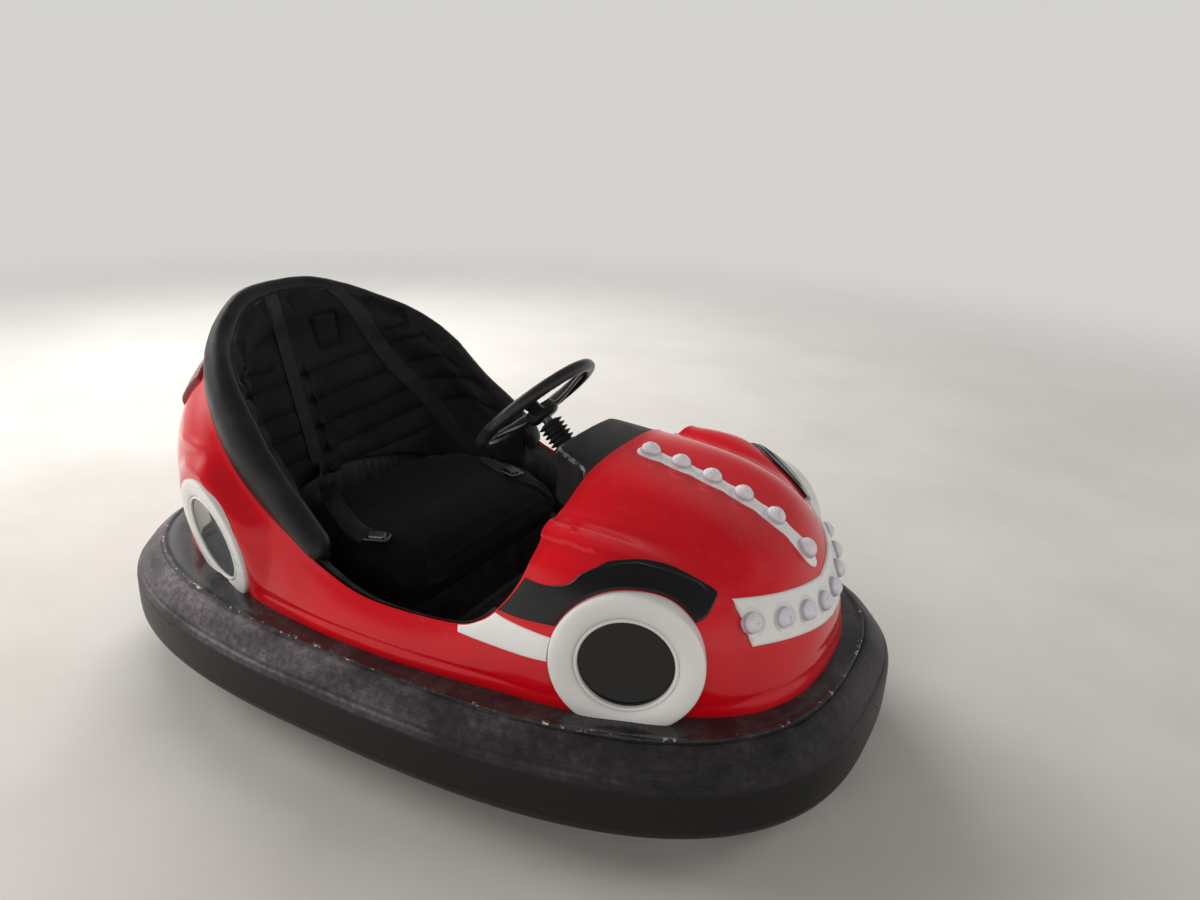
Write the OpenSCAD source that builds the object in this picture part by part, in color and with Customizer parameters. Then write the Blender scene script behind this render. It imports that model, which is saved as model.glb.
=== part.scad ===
// Two-seat fairground bumper car with an inflated rubber bumper ring.
// Millimetres. +X is forward, +Y is left, +Z is up, and the floor is Z = 0.

/* [Bumper] */
// Length over the rubber bumper
bumper_len = 1930; // [1760:10:2100]
// Width over the rubber bumper
bumper_w = 1200; // [1140:10:1300]
// Squareness of the plan outline, where 2 is an ellipse
plan_power = 2.72; // [2.5:0.02:3.2]
// Height of the bumper's underside above the floor
bumper_low = 84; // [74:1:100]
// Height of the bumper's section
bumper_h = 182; // [170:1:186]
// Thickness of the bumper's section, seen from above
bumper_t = 70; // [60:1:85]

/* [Chassis] */
// Width of the rim's top flange
flange_w = 86; // [82:1:92]
// Thickness of the rim's sheet
rim_t = 4; // [3:0.5:6]
// Height of the floor pan's underside
pan_z = 168; // [160:1:174]
// Thickness of the floor pan
pan_t = 4; // [3:0.5:6]
// Side of the chassis rails
rail_w = 36; // [30:1:44]
// Distance of each rail from the centreline
rail_y = 230; // [200:5:250]

/* [Body shell] */
// Least distance of the shell's foot from the bumper's outside
shell_inset = 106; // [100:1:110]
// Thickness of the shell
shell_t = 5; // [4:0.5:7]
// Distance of the bonnet's rear edge from the bumper's front
cowl_in = 620; // [600:5:640]
// Distance of the back of the opening from the bumper's rear
back_in = 240; // [220:5:260]
// Height of the bonnet at its rear edge
hood_z = 650; // [620:5:680]
// Height of the door sill
sill_z = 368; // [350:1:385]
// Height of the shell behind the seat
back_z = 766; // [720:2:800]
// Distance of the sill's edge from the bumper's outside
open_in = 145; // [138:1:155]

/* [Seat] */
// Height of the top of the seat cushion
seat_z = 405; // [370:5:430]
// Thickness of the seat cushion
cushion_t = 130; // [100:5:150]
// Length of the seat cushion
cushion_len = 440; // [380:5:470]
// Width of the seat cushion
cushion_w = 650; // [560:10:680]
// Thickness of the backrest's padding
back_t = 40; // [30:1:55]
// Width of the padded roll round the back
roll_w = 62; // [55:1:75]
// Height of the padded roll over the shell's edge
roll_h = 115; // [80:1:130]
// Width of the harness webbing
strap_w = 46; // [38:1:52]

/* [Steering] */
// Radius of the steering wheel to the middle of its rim
wheel_r = 150; // [130:1:170]
// Thickness of the steering wheel's rim
grip_d = 29; // [24:1:34]
// Distance of the steering wheel's centre behind the bonnet's rear edge
wheel_back = 233; // [215:1:255]
// Height of the steering wheel's centre
wheel_z = 698; // [680:1:720]
// Diameter of the steering shaft
shaft_d = 24; // [18:1:28]
// Diameter of the steering column
column_d = 46; // [40:1:54]

/* [Wheels] */
// Diameter of the drive tyre
drive_d = 200; // [180:2:210]
// Width of the drive tyre
drive_w = 50; // [40:1:54]
// Diameter of each rear tyre
rear_d = 150; // [130:2:154]
// Width of each rear tyre
rear_w = 40; // [30:1:46]
// Distance of the rear axle behind the middle
rear_x = 470; // [420:5:500]
// Distance of each rear wheel from the centreline
rear_y = 370; // [340:5:390]

/* [Wheel trims] */
// Outside radius of each white wheel trim
trim_r = 149; // [142:1:153]
// Radius of the black disc in each trim
disc_r = 92; // [80:1:98]
// Height of the front trims' centres
trim_front_z = 388; // [382:1:396]
// Height of the rear trims' centres
trim_rear_z = 378; // [372:1:386]
// Distance of the front trims' centres from the bumper's front
trim_front_in = 391; // [382:1:400]
// Distance of the rear trims' centres from the bumper's rear
trim_rear_in = 488; // [480:1:500]

/* [Lamps] */
// Radius of each lamp dome
dome_r = 22; // [16:1:26]
// Number of lamps along the bonnet
strip_count = 6; // [4:1:7]
// Number of lamps round the nose
nose_count = 8; // [4:2:8]

/* [Hidden] */

stations = 120;         // sections round the plan outline
rib_steps = 12;         // steps up each rib of the shell
gap = 0.3;              // running gap between neighbours
rubber = [0.20, 0.18, 0.19];
red = [0.80, 0.05, 0.10];
white = [0.93, 0.92, 0.89];
gloss = [0.05, 0.05, 0.06];
cloth = [0.10, 0.10, 0.11];
steel = [0.30, 0.31, 0.33];

flange_top = bumper_low + bumper_h + rim_t + 2;
hoop_in = bumper_t + gap;               // outer face of the hoop, from the bumper's outside
pan_inset = hoop_in + rim_t + gap;
floor_z = pan_z + pan_t;
shell_z = flange_top + gap;

drive_r = drive_d / 2;
rear_r = rear_d / 2;
axle_r = 8;
open_half = bumper_w / 2 - open_in;
cowl_x = bumper_len / 2 - cowl_in;
back_x = bumper_len / 2 - back_in;
wheel_x = cowl_x - wheel_back;
joint_z = 305;                          // height where the column meets the kingpin's axis
drive_x = wheel_x + wheel_z - joint_z;  // the column slopes at 45 degrees
column_len = (wheel_z - joint_z) * sqrt(2);
ball_r = 14;
fork_gap = drive_w + 24;
fork_t = 8;
crown_z = drive_d + 20;
crown_t = 12;
kingpin_r = 15;
bearing_r = 26;
bridge_z = 258;
bridge_t = 8;
bridge_half = 165;
swing_r = drive_r + 32;                 // hole in the pan for the turning fork

// Shell ribs, one row for each plan angle. The columns are the angle, how far the foot lies
// inside the least inset, the edge's x, y and z, then the lean and rise of the lower handle
// and the reach, swell and drop of the upper one. The edge's x is a share of the opening's
// half length, which is cowl_x in front and back_x behind, its y of the half width, and its
// z of the rise from the sill. Reach is a share of the run from edge to foot, and the other
// handle values are shares of the rib's height.
RIBS = [
    [0, 2, 1.00, 0.00, 1.00, 0.00, 0.65, 0.73, 0.00, 0.12],
    [14, 6, 1.00, 0.33, 0.96, -0.09, 0.66, 0.78, 0.00, 0.05],
    [25, 11, 1.00, 0.58, 0.80, -0.08, 0.66, 0.80, 0.00, -0.02],
    [34, 17, 1.02, 0.72, 0.81, 0.08, 0.60, 0.78, 0.00, -0.03],
    [43, 24, 1.04, 0.81, 0.77, 0.22, 0.50, 0.80, 0.12, -0.08],
    [52, 19, 1.05, 0.89, 0.65, 0.20, 0.50, 0.75, 0.14, -0.06],
    [60, 11, 1.01, 0.93, 0.48, 0.16, 0.50, 0.70, 0.14, -0.05],
    [67, 10, 0.92, 0.96, 0.29, 0.15, 0.50, 0.60, 0.12, 0.00],
    [74, 15, 0.78, 0.98, 0.12, 0.08, 0.45, 0.50, 0.08, 0.05],
    [80, 10, 0.57, 0.99, 0.03, 0.06, 0.45, 0.40, 0.06, 0.10],
    [90, 0, 0.00, 1.00, 0.00, 0.05, 0.45, 0.35, 0.06, 0.10],
    [98, 7, 0.18, 0.99, 0.08, 0.06, 0.50, 0.35, 0.06, 0.10],
    [106, 14, 0.32, 0.985, 0.22, 0.08, 0.45, 0.40, 0.08, 0.12],
    [113, 21, 0.45, 0.96, 0.34, 0.18, 0.50, 0.50, 0.20, 0.10],
    [120, 26, 0.56, 0.93, 0.48, 0.17, 0.50, 0.50, 0.20, 0.10],
    [128, 26, 0.66, 0.875, 0.62, 0.13, 0.50, 0.50, 0.17, 0.12],
    [137, 24, 0.76, 0.78, 0.74, 0.08, 0.50, 0.55, 0.14, 0.12],
    [147, 20, 0.855, 0.64, 0.83, 0.06, 0.50, 0.60, 0.10, 0.12],
    [158, 14, 0.925, 0.47, 0.92, 0.04, 0.50, 0.70, 0.05, 0.12],
    [169, 8, 0.98, 0.26, 0.985, 0.03, 0.50, 0.75, 0.03, 0.12],
    [180, 6, 1.00, 0.00, 1.00, 0.03, 0.50, 0.75, 0.03, 0.12]
];

function lerp(a, b, f) = a + (b - a) * f;
function spow(v, e) = sign(v) * pow(abs(v), e);
function unit(v) = v / norm(v);
function fold(t) = abs(t > 180 ? t - 360 : t);

// Point of the plan outline at angle t, a given distance inside the bumper
function plan(t, inset) = [
    (bumper_len / 2 - inset) * spow(cos(t), 2 / plan_power),
    (bumper_w / 2 - inset) * spow(sin(t), 2 / plan_power)
];

// Plan angle of the outline's point that lies y from the centreline, y from 0
function angle_at(y, inset) = asin(pow(y / (bumper_w / 2 - inset), plan_power / 2));

// The same rows with the edge and the handles in millimetres
ribs = [
    for (r = RIBS)
        let (
            x = r[0] <= 90 ? r[2] * cowl_x : -r[2] * back_x,
            z = lerp(sill_z, r[0] < 90 ? hood_z : back_z, r[4]),
            h = z - shell_z
        )
        [r[0], r[1], x, r[3] * open_half, z, r[5] * h, r[6] * h, r[7], r[8] * h, r[9] * h]
];

// Catmull-Rom value of one column of ribs at angle t from 0 to 180
function rib_row(t, i = 0) = i >= len(ribs) - 2 || ribs[i + 1][0] > t ? i : rib_row(t, i + 1);
function mix4(a, b, c, d, f) =
    b + 0.5 * f * (c - a + f * (2 * a - 5 * b + 4 * c - d + f * (3 * (b - c) + d - a)));
function rib(t, col) =
    let (
        i = rib_row(t),
        last = len(ribs) - 1,
        f = (t - ribs[i][0]) / (ribs[i + 1][0] - ribs[i][0]),
        flip = col == 3 ? -1 : 1,
        before = i > 0 ? ribs[i - 1][col] : ribs[1][col] * flip,
        after = i + 2 <= last ? ribs[i + 2][col] : ribs[last - 1][col] * flip
    )
    mix4(before, ribs[i][col], ribs[i + 1][col], after, f);

// The opening's edge at angle t, with t from -180 to 180
function side(t) = sin(t) < 0 ? -1 : 1;
function edge(t) = let (a = fold(t)) [rib(a, 2), side(t) * rib(a, 3), rib(a, 4)];

// Four control points of the rib at angle t
function outward(t) = unit([cos(t) / bumper_len, sin(t) / bumper_w]);
function handles(t) =
    let (
        a = fold(t),
        p = plan(t, shell_inset + rib(a, 1)),
        e = edge(t),
        low = p + outward(t) * rib(a, 5),
        high = [e[0], e[1]] + (p - [e[0], e[1]]) * rib(a, 7) + outward(t) * rib(a, 8)
    )
    [
        [p[0], p[1], shell_z],
        [low[0], low[1], shell_z + rib(a, 6)],
        [high[0], high[1], e[2] - rib(a, 9)],
        e
    ];
function bezier(p, u) =
    pow(1 - u, 3) * p[0] + 3 * u * pow(1 - u, 2) * p[1] + 3 * u * u * (1 - u) * p[2] + pow(u, 3) * p[3];
function skin(t, u) = bezier(handles(t), u);

// Outward normal of the shell, then a point a given distance outside it
function skin_normal(t, u) =
    let (
        u0 = max(0, u - 0.02),
        u1 = min(1, u + 0.02),
        du = skin(t, u1) - skin(t, u0),
        dt = skin(t + 1, u) - skin(t - 1, u)
    )
    unit(cross(dt, du));
function off_skin(t, u, d) = skin(t, u) + d * skin_normal(t, u);

// Share up the rib at angle t where the skin's x (axis 0) or z (axis 2) has a value
function rib_u(t, axis, value, low = 0, high = 1, n = 14) =
    let (mid = (low + high) / 2, past = (skin(t, mid)[axis] - value) * (axis == 0 ? -1 : 1) > 0)
    n == 0 ? mid : rib_u(t, axis, value, past ? low : mid, past ? mid : high, n - 1);

function reversed(v) = [for (i = [len(v) - 1:-1:0]) v[i]];
function fan(f) = [for (i = [1:len(f) - 2]) [f[0], f[i], f[i + 1]]];
// Triangles across a section that runs out along one side and back along the other
function zipped(f) = [
    for (i = [0:len(f) / 2 - 2])
        let (j = len(f) - 1 - i)
        each [[f[i], f[i + 1], f[j - 1]], [f[i], f[j - 1], f[j]]]
];
function total(v) = v * [for (i = [0:len(v) - 1]) 1];
// True where the triangles' signed volume says that they face inwards
function turned_in(points, triangles) =
    total([for (f = triangles) points[f[0]] * cross(points[f[1]], points[f[2]])]) > 0;

// Solid through a list of closed sections, joined end to end or capped. A strip's ends may bend.
module loft(sections, closed = false, strip = false) {
    n = len(sections[0]);
    m = len(sections);
    points = [for (s = sections) each s];
    walls = [
        for (k = [0:m - (closed ? 1 : 2)])
            for (i = [0:n - 1])
                let (
                    a = k * n + i,
                    b = k * n + (i + 1) % n,
                    c = ((k + 1) % m) * n + (i + 1) % n,
                    d = ((k + 1) % m) * n + i
                )
                each [[a, b, c], [a, c, d]]
    ];
    first = [for (i = [n - 1:-1:0]) i];
    end = [for (i = [0:n - 1]) (m - 1) * n + i];
    caps = strip ? concat(zipped(first), zipped(end)) : [first, end];
    faces = closed ? walls : concat(walls, caps);
    triangles = [for (f = faces) each fan(f)];
    polyhedron(points, turned_in(points, triangles) ? [for (f = faces) reversed(f)] : faces);
}

// Ring of a flat section of [inset, height] points that follows the plan outline
module plan_ring(section) {
    loft([
        for (i = [0:stations - 1])
            let (t = i * 360 / stations)
            [for (s = section) let (p = plan(t, s[0])) [p[0], p[1], s[1]]]
    ], closed = true);
}

// Patch lifted off the shell, from rows of [angle, low share, high share] of the ribs
module skin_patch(rows, u_steps, low, high) {
    loft([
        for (r = rows)
            concat(
                [for (j = [0:u_steps]) off_skin(r[0], lerp(r[1], r[2], j / u_steps), low)],
                [for (j = [u_steps:-1:0]) off_skin(r[0], lerp(r[1], r[2], j / u_steps), high)]
            )
    ], strip = true);
}
// Rows with even steps from one row to another
function even_rows(first, last, steps) = [for (i = [0:steps]) lerp(first, last, i / steps)];

module both_sides() {
    children();
    mirror([0, 1, 0]) children();
}

// Bumper ring
tube_top = bumper_low + bumper_h;
TUBE = [
    [bumper_t, bumper_low + 8], [bumper_t, tube_top - 8], [bumper_t - 8, tube_top],
    [bumper_t - 20, tube_top - 3], [bumper_t - 40, tube_top - 22], [12, tube_top - 48],
    [4, tube_top - 58], [0, tube_top - 72], [0, bumper_low + 44], [4, bumper_low + 20],
    [16, bumper_low + 4], [34, bumper_low], [bumper_t - 12, bumper_low]
];

module bumper_tube() {
    color(rubber)
        plan_ring(TUBE);
}

// Inflation valve, standing up through the rim's flange at the rear
valve_inset = bumper_t + 8;
valve_r = 3.85;
valve_len = 24;
module valve_stem() {
    color("silver")
        translate([-bumper_len / 2 + valve_inset, 0, flange_top + gap])
            union() {
                cylinder(r = 7, h = 4, $fn = 32);
                translate([0, 0, 4])
                    cylinder(r = valve_r, h = valve_len, $fn = 32);
            }
}

// Steel hoop with the flange that carries the shell
module rim_band() {
    inner = bumper_t - 8;
    color(gloss)
        plan_ring([
            [hoop_in, bumper_low + 12], [hoop_in, flange_top - rim_t], [inner, flange_top - rim_t],
            [inner, flange_top], [inner + flange_w, flange_top], [inner + flange_w, flange_top - rim_t],
            [hoop_in + rim_t, flange_top - rim_t], [hoop_in + rim_t, bumper_low + 12]
        ]);
}

module plan_plate(inset, z, t) {
    translate([0, 0, z])
        linear_extrude(t)
            polygon([for (i = [0:stations - 1]) plan(i * 360 / stations, inset)]);
}

module floor_pan() {
    color(steel)
        difference() {
            plan_plate(pan_inset, pan_z, pan_t);
            translate([drive_x, 0, pan_z - 1])
                cylinder(r = swing_r, h = pan_t + 2, $fn = 96);
        }
}

// Two box rails and three cross tubes under the pan
module box_tube(len, w, wall) {
    difference() {
        translate([-len / 2, -w / 2, 0]) cube([len, w, w]);
        translate([-len / 2 - 1, -w / 2 + wall, wall]) cube([len + 2, w - 2 * wall, w - 2 * wall]);
    }
}
rail_len = 1000;
rail_x = -170;
CROSS_X = [-600, -160, 270];
module chassis_rails() {
    rail_z = pan_z - gap - rail_w;
    color(steel)
        union() {
            for (y = [-rail_y, rail_y])
                translate([rail_x, y, rail_z]) box_tube(rail_len, rail_w, 3);
            for (x = CROSS_X)
                translate([x, 0, rail_z]) rotate([0, 0, 90]) box_tube(2 * rail_y - rail_w, rail_w, 3);
        }
}

// Body shell
// Centre of each right-hand trim, its turn away from the side and its tilt to the floor
front_trim_side = 192;
rear_trim_side = 158;
function trim_pose(front) = front
    ? [bumper_len / 2 - trim_front_in, front_trim_side - bumper_w / 2, trim_front_z, 20.5, 0]
    : [trim_rear_in - bumper_len / 2, rear_trim_side - bumper_w / 2, trim_rear_z, -18, 10];
// Places children on the right side, with +Z along the trim's outward axis
module at_trim(front) {
    p = trim_pose(front);
    translate([p[0], p[1], p[2]])
        rotate([0, 0, p[3]])
            rotate([90 + p[4], 0, 0])
                children();
}
module trim_hole(front, r) {
    at_trim(front)
        translate([0, 0, -60])
            cylinder(r = r, h = 150, $fn = 72);
}

module shell_skin() {
    loft([
        for (i = [0:stations - 1])
            let (t = i * 360 / stations - (i * 2 > stations ? 360 : 0))
            concat(
                [for (j = [0:rib_steps]) off_skin(t, j / rib_steps, 0)],
                [for (j = [rib_steps:-1:0]) off_skin(t, j / rib_steps, -shell_t)]
            )
    ], closed = true);
}

module body_shell() {
    color(red)
        difference() {
            shell_skin();
            both_sides() {
                trim_hole(true, trim_r + gap);
                trim_hole(false, trim_r + gap);
            }
            translate([0, 0, shell_z - 50])
                cube([3000, 3000, 100], center = true);
        }
}

// White trims: a moulded ring with a domed face and a rolled lip round its disc
lip_w = 8;
lip_rise = 4;
trim_mid = (disc_r + lip_w + trim_r) / 2;
trim_half = (trim_r - disc_r - lip_w) / 2;
trim_depth = 34;
trim_dome = 11;
module trim_ring(front) {
    intersection() {
        at_trim(front)
            rotate_extrude($fn = 96)
                polygon(concat(
                    [[disc_r, -trim_depth]],
                    [
                        for (a = [180:-30:0])
                            [disc_r + lip_w / 2 * (1 + cos(a)), lip_rise + lip_w / 2 * sin(a)]
                    ],
                    [
                        for (a = [165:-15:0])
                            [trim_mid + trim_half * cos(a), lip_rise + trim_dome * sin(a)]
                    ],
                    [[trim_r, -trim_depth]]
                ));
        translate([-1500, -1500, shell_z])
            cube([3000, 3000, 600]);
    }
}
module front_trims() {
    color(white)
        both_sides() trim_ring(true);
}
module rear_trims() {
    color(white)
        both_sides() trim_ring(false);
}
module trim_disc(front) {
    at_trim(front)
        translate([0, 0, -6])
            cylinder(r = disc_r - gap, h = 6, $fn = 72);
}
module front_discs() {
    color(gloss)
        both_sides() trim_disc(true);
}
module rear_discs() {
    color(gloss)
        both_sides() trim_disc(false);
}

// Share of the rib at angle t, from low up to high, where it leaves the front trim's circle
function trim_dist(t, u) =
    let (
        c = trim_pose(true),
        d = skin(t, u) - [c[0], c[1], c[2]]
    )
    norm(cross(d, [sin(c[3]), -cos(c[3]), 0]));
function over_trim(t, low, high, r, n = 12) =
    trim_dist(t, low) > r ? low
    : n == 0 ? high
    : let (mid = (low + high) / 2)
        trim_dist(t, mid) > r ? over_trim(t, low + (mid - low) / 2, mid, r, n - 1)
        : over_trim(t, mid, high, r, n - 1);

// Black moulding over each front trim, as angle, then its low and high edge over the flange
ARCH = [
    [69, 165, 170], [66, 172, 210], [62, 180, 232], [58, 182, 243], [54, 182, 258],
    [50, 182, 278], [46, 182, 293], [42, 182, 303], [38, 200, 301], [34, 208, 293],
    [31, 220, 279], [27, 236, 238]
];
arch_steps = 28;
top_share = 0.985;
// Share of the rib at angle t for a height over the flange, kept below the shell's edge
function height_u(t, h) = rib_u(t, 2, shell_z + h, 0, top_share);
function column(rows, key, col) = lookup(key, [for (r = rows) [r[0], r[col]]]);
module arch_bands() {
    rows = [
        for (i = [0:arch_steps])
            let (
                a = lerp(ARCH[0][0], ARCH[len(ARCH) - 1][0], i / arch_steps),
                low = height_u(-a, column(ARCH, a, 1)),
                high = height_u(-a, column(ARCH, a, 2))
            )
            [-a, min(over_trim(-a, low, high, trim_r + 2), high - 0.03), high]
    ];
    color(gloss)
        both_sides()
            skin_patch(rows, 8, 5 * gap, 8);
}
// White stripe below it, with the same three columns
STRIPE = [[79, 97, 108], [72, 99, 155], [60, 112, 155]];
module side_stripes() {
    rows = [
        for (i = [0:14])
            let (a = lerp(STRIPE[0][0], STRIPE[2][0], i / 14))
            [-a, height_u(-a, column(STRIPE, a, 1)), height_u(-a, column(STRIPE, a, 2))]
    ];
    color(white)
        both_sides()
            difference() {
                skin_patch(rows, 3, 3 * gap, 5);
                trim_hole(true, trim_r + 1);
            }
}

// Bonnet lamps on a white strip along the ridge
strip_first = 63;           // first lamp ahead of the bonnet's rear edge
strip_pitch = 73;
strip_past = [37, 23];      // how far the strip runs past its first and last lamp
strip_rise = 5;
function strip_x(i) = cowl_x + strip_first + i * strip_pitch;
module lamp_strip() {
    half = dome_r * 0.8;
    steps = 14;
    x0 = strip_x(0) - strip_past[0];
    x1 = strip_x(strip_count - 1) + strip_past[1];
    color(white)
        loft([
            for (i = [0:steps])
                let (
                    u = rib_u(0, 0, lerp(x0, x1, i / steps)),
                    p = skin(0, u),
                    n = skin_normal(0, u),
                    w = half * (i == 0 || i == steps ? 0.4 : 1)
                )
                [
                    p + 3 * gap * n + [0, w, 0], p + 3 * gap * n - [0, w, 0],
                    p + strip_rise * n - [0, w * 0.85, 0], p + strip_rise * n + [0, w * 0.85, 0]
                ]
        ]);
}
// Places children with +Z along the shell's normal
module on_skin(t, u, lift) {
    p = off_skin(t, u, lift);
    n = skin_normal(t, u);
    translate(p)
        rotate([0, acos(n[2]), atan2(n[1], n[0])])
            children();
}
module dome(r) {
    intersection() {
        translate([0, 0, -r * 0.1])
            sphere(r = r, $fn = 32);
        translate([-r, -r, 0])
            cube([2 * r, 2 * r, 2 * r]);
    }
}
module strip_lamps() {
    color("white")
        for (i = [0:strip_count - 1])
            on_skin(0, rib_u(0, 0, strip_x(i)), strip_rise + gap)
                dome(dome_r);
}

// White band round the nose, with its low and high edge over the flange at the middle and
// at its ends, and the lamps on it
band_half = 262;
band_rise = 6;
BAND = [[0, 104, 190], [band_half, 134, 223]];
nose_pitch = 72;
function nose_t(y) = sign(y) * angle_at(abs(y), shell_inset);
module nose_band() {
    rows = [
        for (i = [-18:18])
            let (y = band_half * i / 18, t = nose_t(y))
            [t, height_u(t, column(BAND, abs(y), 1)), height_u(t, column(BAND, abs(y), 2))]
    ];
    color(white)
        skin_patch(rows, 5, 5 * gap, band_rise);
}
module nose_lamps() {
    color("white")
        for (i = [0:nose_count - 1])
            let (
                y = nose_pitch * (i - (nose_count - 1) / 2),
                t = nose_t(y),
                h = (column(BAND, abs(y), 1) + column(BAND, abs(y), 2)) / 2
            )
            on_skin(t, height_u(t, h), band_rise + gap)
                dome(dome_r);
}
module tail_lamps() {
    color("firebrick")
        both_sides()
            skin_patch(even_rows([-160, 0.66, 0.9], [-149, 0.66, 0.9], 6), 5, 2 * gap, 14);
}

// Liner of the cockpit from the sill's lip down to the floor
LINER_T = 69;
lip = 34;
liner_t = 4;
middle_shift = 50;
middle_x = (cowl_x - back_x) / 2 + middle_shift;    // what the inside of the cockpit turns towards
function inward(p) = unit([middle_x - p[0], -p[1], 0]);
function inner_edge(t, d, drop) =
    let (
        e = edge(t),
        o = inward(e)
    )
    e + o * d - [0, 0, drop];
// How far the liner's foot lies inside the sill's edge, and ahead of the opening's back
foot_side = 105;
foot_rear = 270;
foot_half = open_half - foot_side;
foot_back = back_x - foot_rear;
// Value held near a limit, passing it by a tenth of the excess
function held(v, limit) = v < limit ? v : limit + (v - limit) * 0.1;
function liner_foot(t) =
    let (e = edge(t))
    [-held(-e[0] * 0.98, foot_back), side(t) * held(abs(e[1]) - lip, foot_half), floor_z + gap];
function liner_side(t, v, d) =
    lerp(inner_edge(t, lip + d, lip * 0.5), liner_foot(t) + inward(edge(t)) * d, v);
module cockpit_liner() {
    steps = 74;
    color(gloss)
        loft([
            for (i = [0:steps])
                let (t = lerp(LINER_T, 360 - LINER_T, i / steps), a = t > 180 ? t - 360 : t)
                [
                    inner_edge(a, shell_t + 3, 2), inner_edge(a, lip, lip * 0.5),
                    liner_side(a, 0.5, 0), liner_side(a, 1, 0), liner_side(a, 1, liner_t),
                    liner_side(a, 0.5, liner_t), liner_side(a, 0, liner_t),
                    inner_edge(a, shell_t + 3, -2)
                ]
        ]);
}

// Ribbed mat on the pan, cut round the drive cover
mat_t = 5;
mat_side = 50;              // how far the mat lies inside the liner's foot
mat_front = 175;            // how far it runs on under the bonnet
module floor_mat() {
    x = [cushion_front, cowl_x - 115, cowl_x + mat_front];
    half = foot_half - mat_side;
    color(cloth)
        difference() {
            translate([0, 0, floor_z + gap])
                linear_extrude(mat_t)
                    polygon([
                        [x[0], -half], [x[1], -half], [x[2], 30 - half],
                        [x[2], half - 30], [x[1], half], [x[0], half]
                    ]);
            translate([drive_x, 0, floor_z - 1])
                cylinder(r = bridge_half + 40, h = mat_t + 3, $fn = 72);
            translate([bracket_x - 15, -80, floor_z - 1])
                cube([drive_x - bracket_x, 160, mat_t + 3]);
        }
}

// Dashboard pod behind the bonnet: a lid and a rear face, open in front and below
cowl_drop = 120;
cowl_t = 4;
COWL_T = 15;
pod_half = 112;
pod_len = 105;
pod_rise = 14;
function pod(y) = max(0, min(1, (edge(COWL_T)[1] - abs(y)) / (edge(COWL_T)[1] - pod_half)));
function cowl_section(t) =
    let (
        e = edge(t),
        f = e[0] - gap - 0.14 * shell_t,
        r = f - 12 - (pod_len - 12) * pod(e[1]),
        lid = e[2] + 1 + pod_rise * pod(e[1]),
        y = e[1]
    )
    [
        [f, y, e[2] + 1], [r, y, lid], [r, y, lid - cowl_drop], [r + cowl_t, y, lid - cowl_drop],
        [r + cowl_t, y, lid - cowl_t], [f, y, e[2] + 1 - cowl_t]
    ];
module dash_cowl() {
    steps = 22;
    notch = column_d / 2 + 9;
    color(gloss)
        difference() {
            loft([for (i = [0:steps]) cowl_section(lerp(-COWL_T, COWL_T, i / steps))]);
            translate([cowl_x - pod_len - 30, -notch, hood_z - cowl_drop - 20])
                cube([70, 2 * notch, cowl_drop + 60]);
        }
}

// Padded roll over the shell's rear edge
ROLL_T = 99;
// Share of roll_h at the roll's two front ends, and how far round it rises to the whole
roll_end = 0.42;
roll_run = 22;
roll_foot = lip + liner_t + 8;
function roll_share(t) = lerp(roll_end, 1, min(1, (fold(t) - ROLL_T) / roll_run));
function roll_high(t) = roll_h * roll_share(t);
function roll_wide(t) = roll_w * lerp(0.6, 1, roll_share(t));
// Point in from the shell's edge at angle t, and over it
function from_edge(t, d, h) = let (e = edge(t)) e + inward(e) * d + [0, 0, h];
function roll_section(t) =
    let (h = roll_high(t), w = roll_wide(t))
    [
        for (p = [
            [-5, 3], [-8, h * 0.35], [w * 0.02, h * 0.7], [w * 0.18, h * 0.92], [w * 0.44, h],
            [w * 0.7, h * 0.96], [w * 0.9, h * 0.84], [w, h * 0.66], [roll_foot, -12],
            [lip + liner_t + 2, -15], [shell_t + 3, 2 + 4 * gap]
        ]) from_edge(t, p[0], p[1])
    ];
module padded_roll() {
    steps = 60;
    color(cloth)
        loft([
            for (i = [0:steps])
                let (t = lerp(ROLL_T, 360 - ROLL_T, i / steps))
                roll_section(t > 180 ? t - 360 : t)
        ]);
}

// Padded backrest on the liner's rear wall, rising in front of the roll
BACK_T = 117;
back_clear = 2.5;
back_share = 0.6;           // of the roll's height
back_thin = 20;             // thickness at its top
BACK_V = [0.005, 0.64];
function back_face(t, v, d) = liner_side(t, v, liner_t + back_clear + d);
module backrest() {
    steps = 42;
    rows = 5;
    color(cloth)
        loft([
            for (i = [0:steps])
                let (
                    t = lerp(BACK_T, 360 - BACK_T, i / steps),
                    a = t > 180 ? t - 360 : t,
                    top = back_share * roll_high(a),
                    d = roll_wide(a) + back_clear
                )
                concat(
                    [from_edge(a, d, top), from_edge(a, roll_foot + back_clear, -15)],
                    [for (j = [0:rows]) back_face(a, lerp(BACK_V[0], BACK_V[1], j / rows), 0)],
                    [for (j = [rows:-1:0]) back_face(a, lerp(BACK_V[0], BACK_V[1], j / rows), back_t)],
                    [from_edge(a, d + back_thin, top)]
                )
        ]);
}

cushion_behind = 35;        // room between the cushion and the liner's foot
cushion_front = cushion_len - foot_back + cushion_behind;
corner_r = 100;
base_in = 20;               // how far the base lies inside the cushion
base_t = 6;
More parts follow.
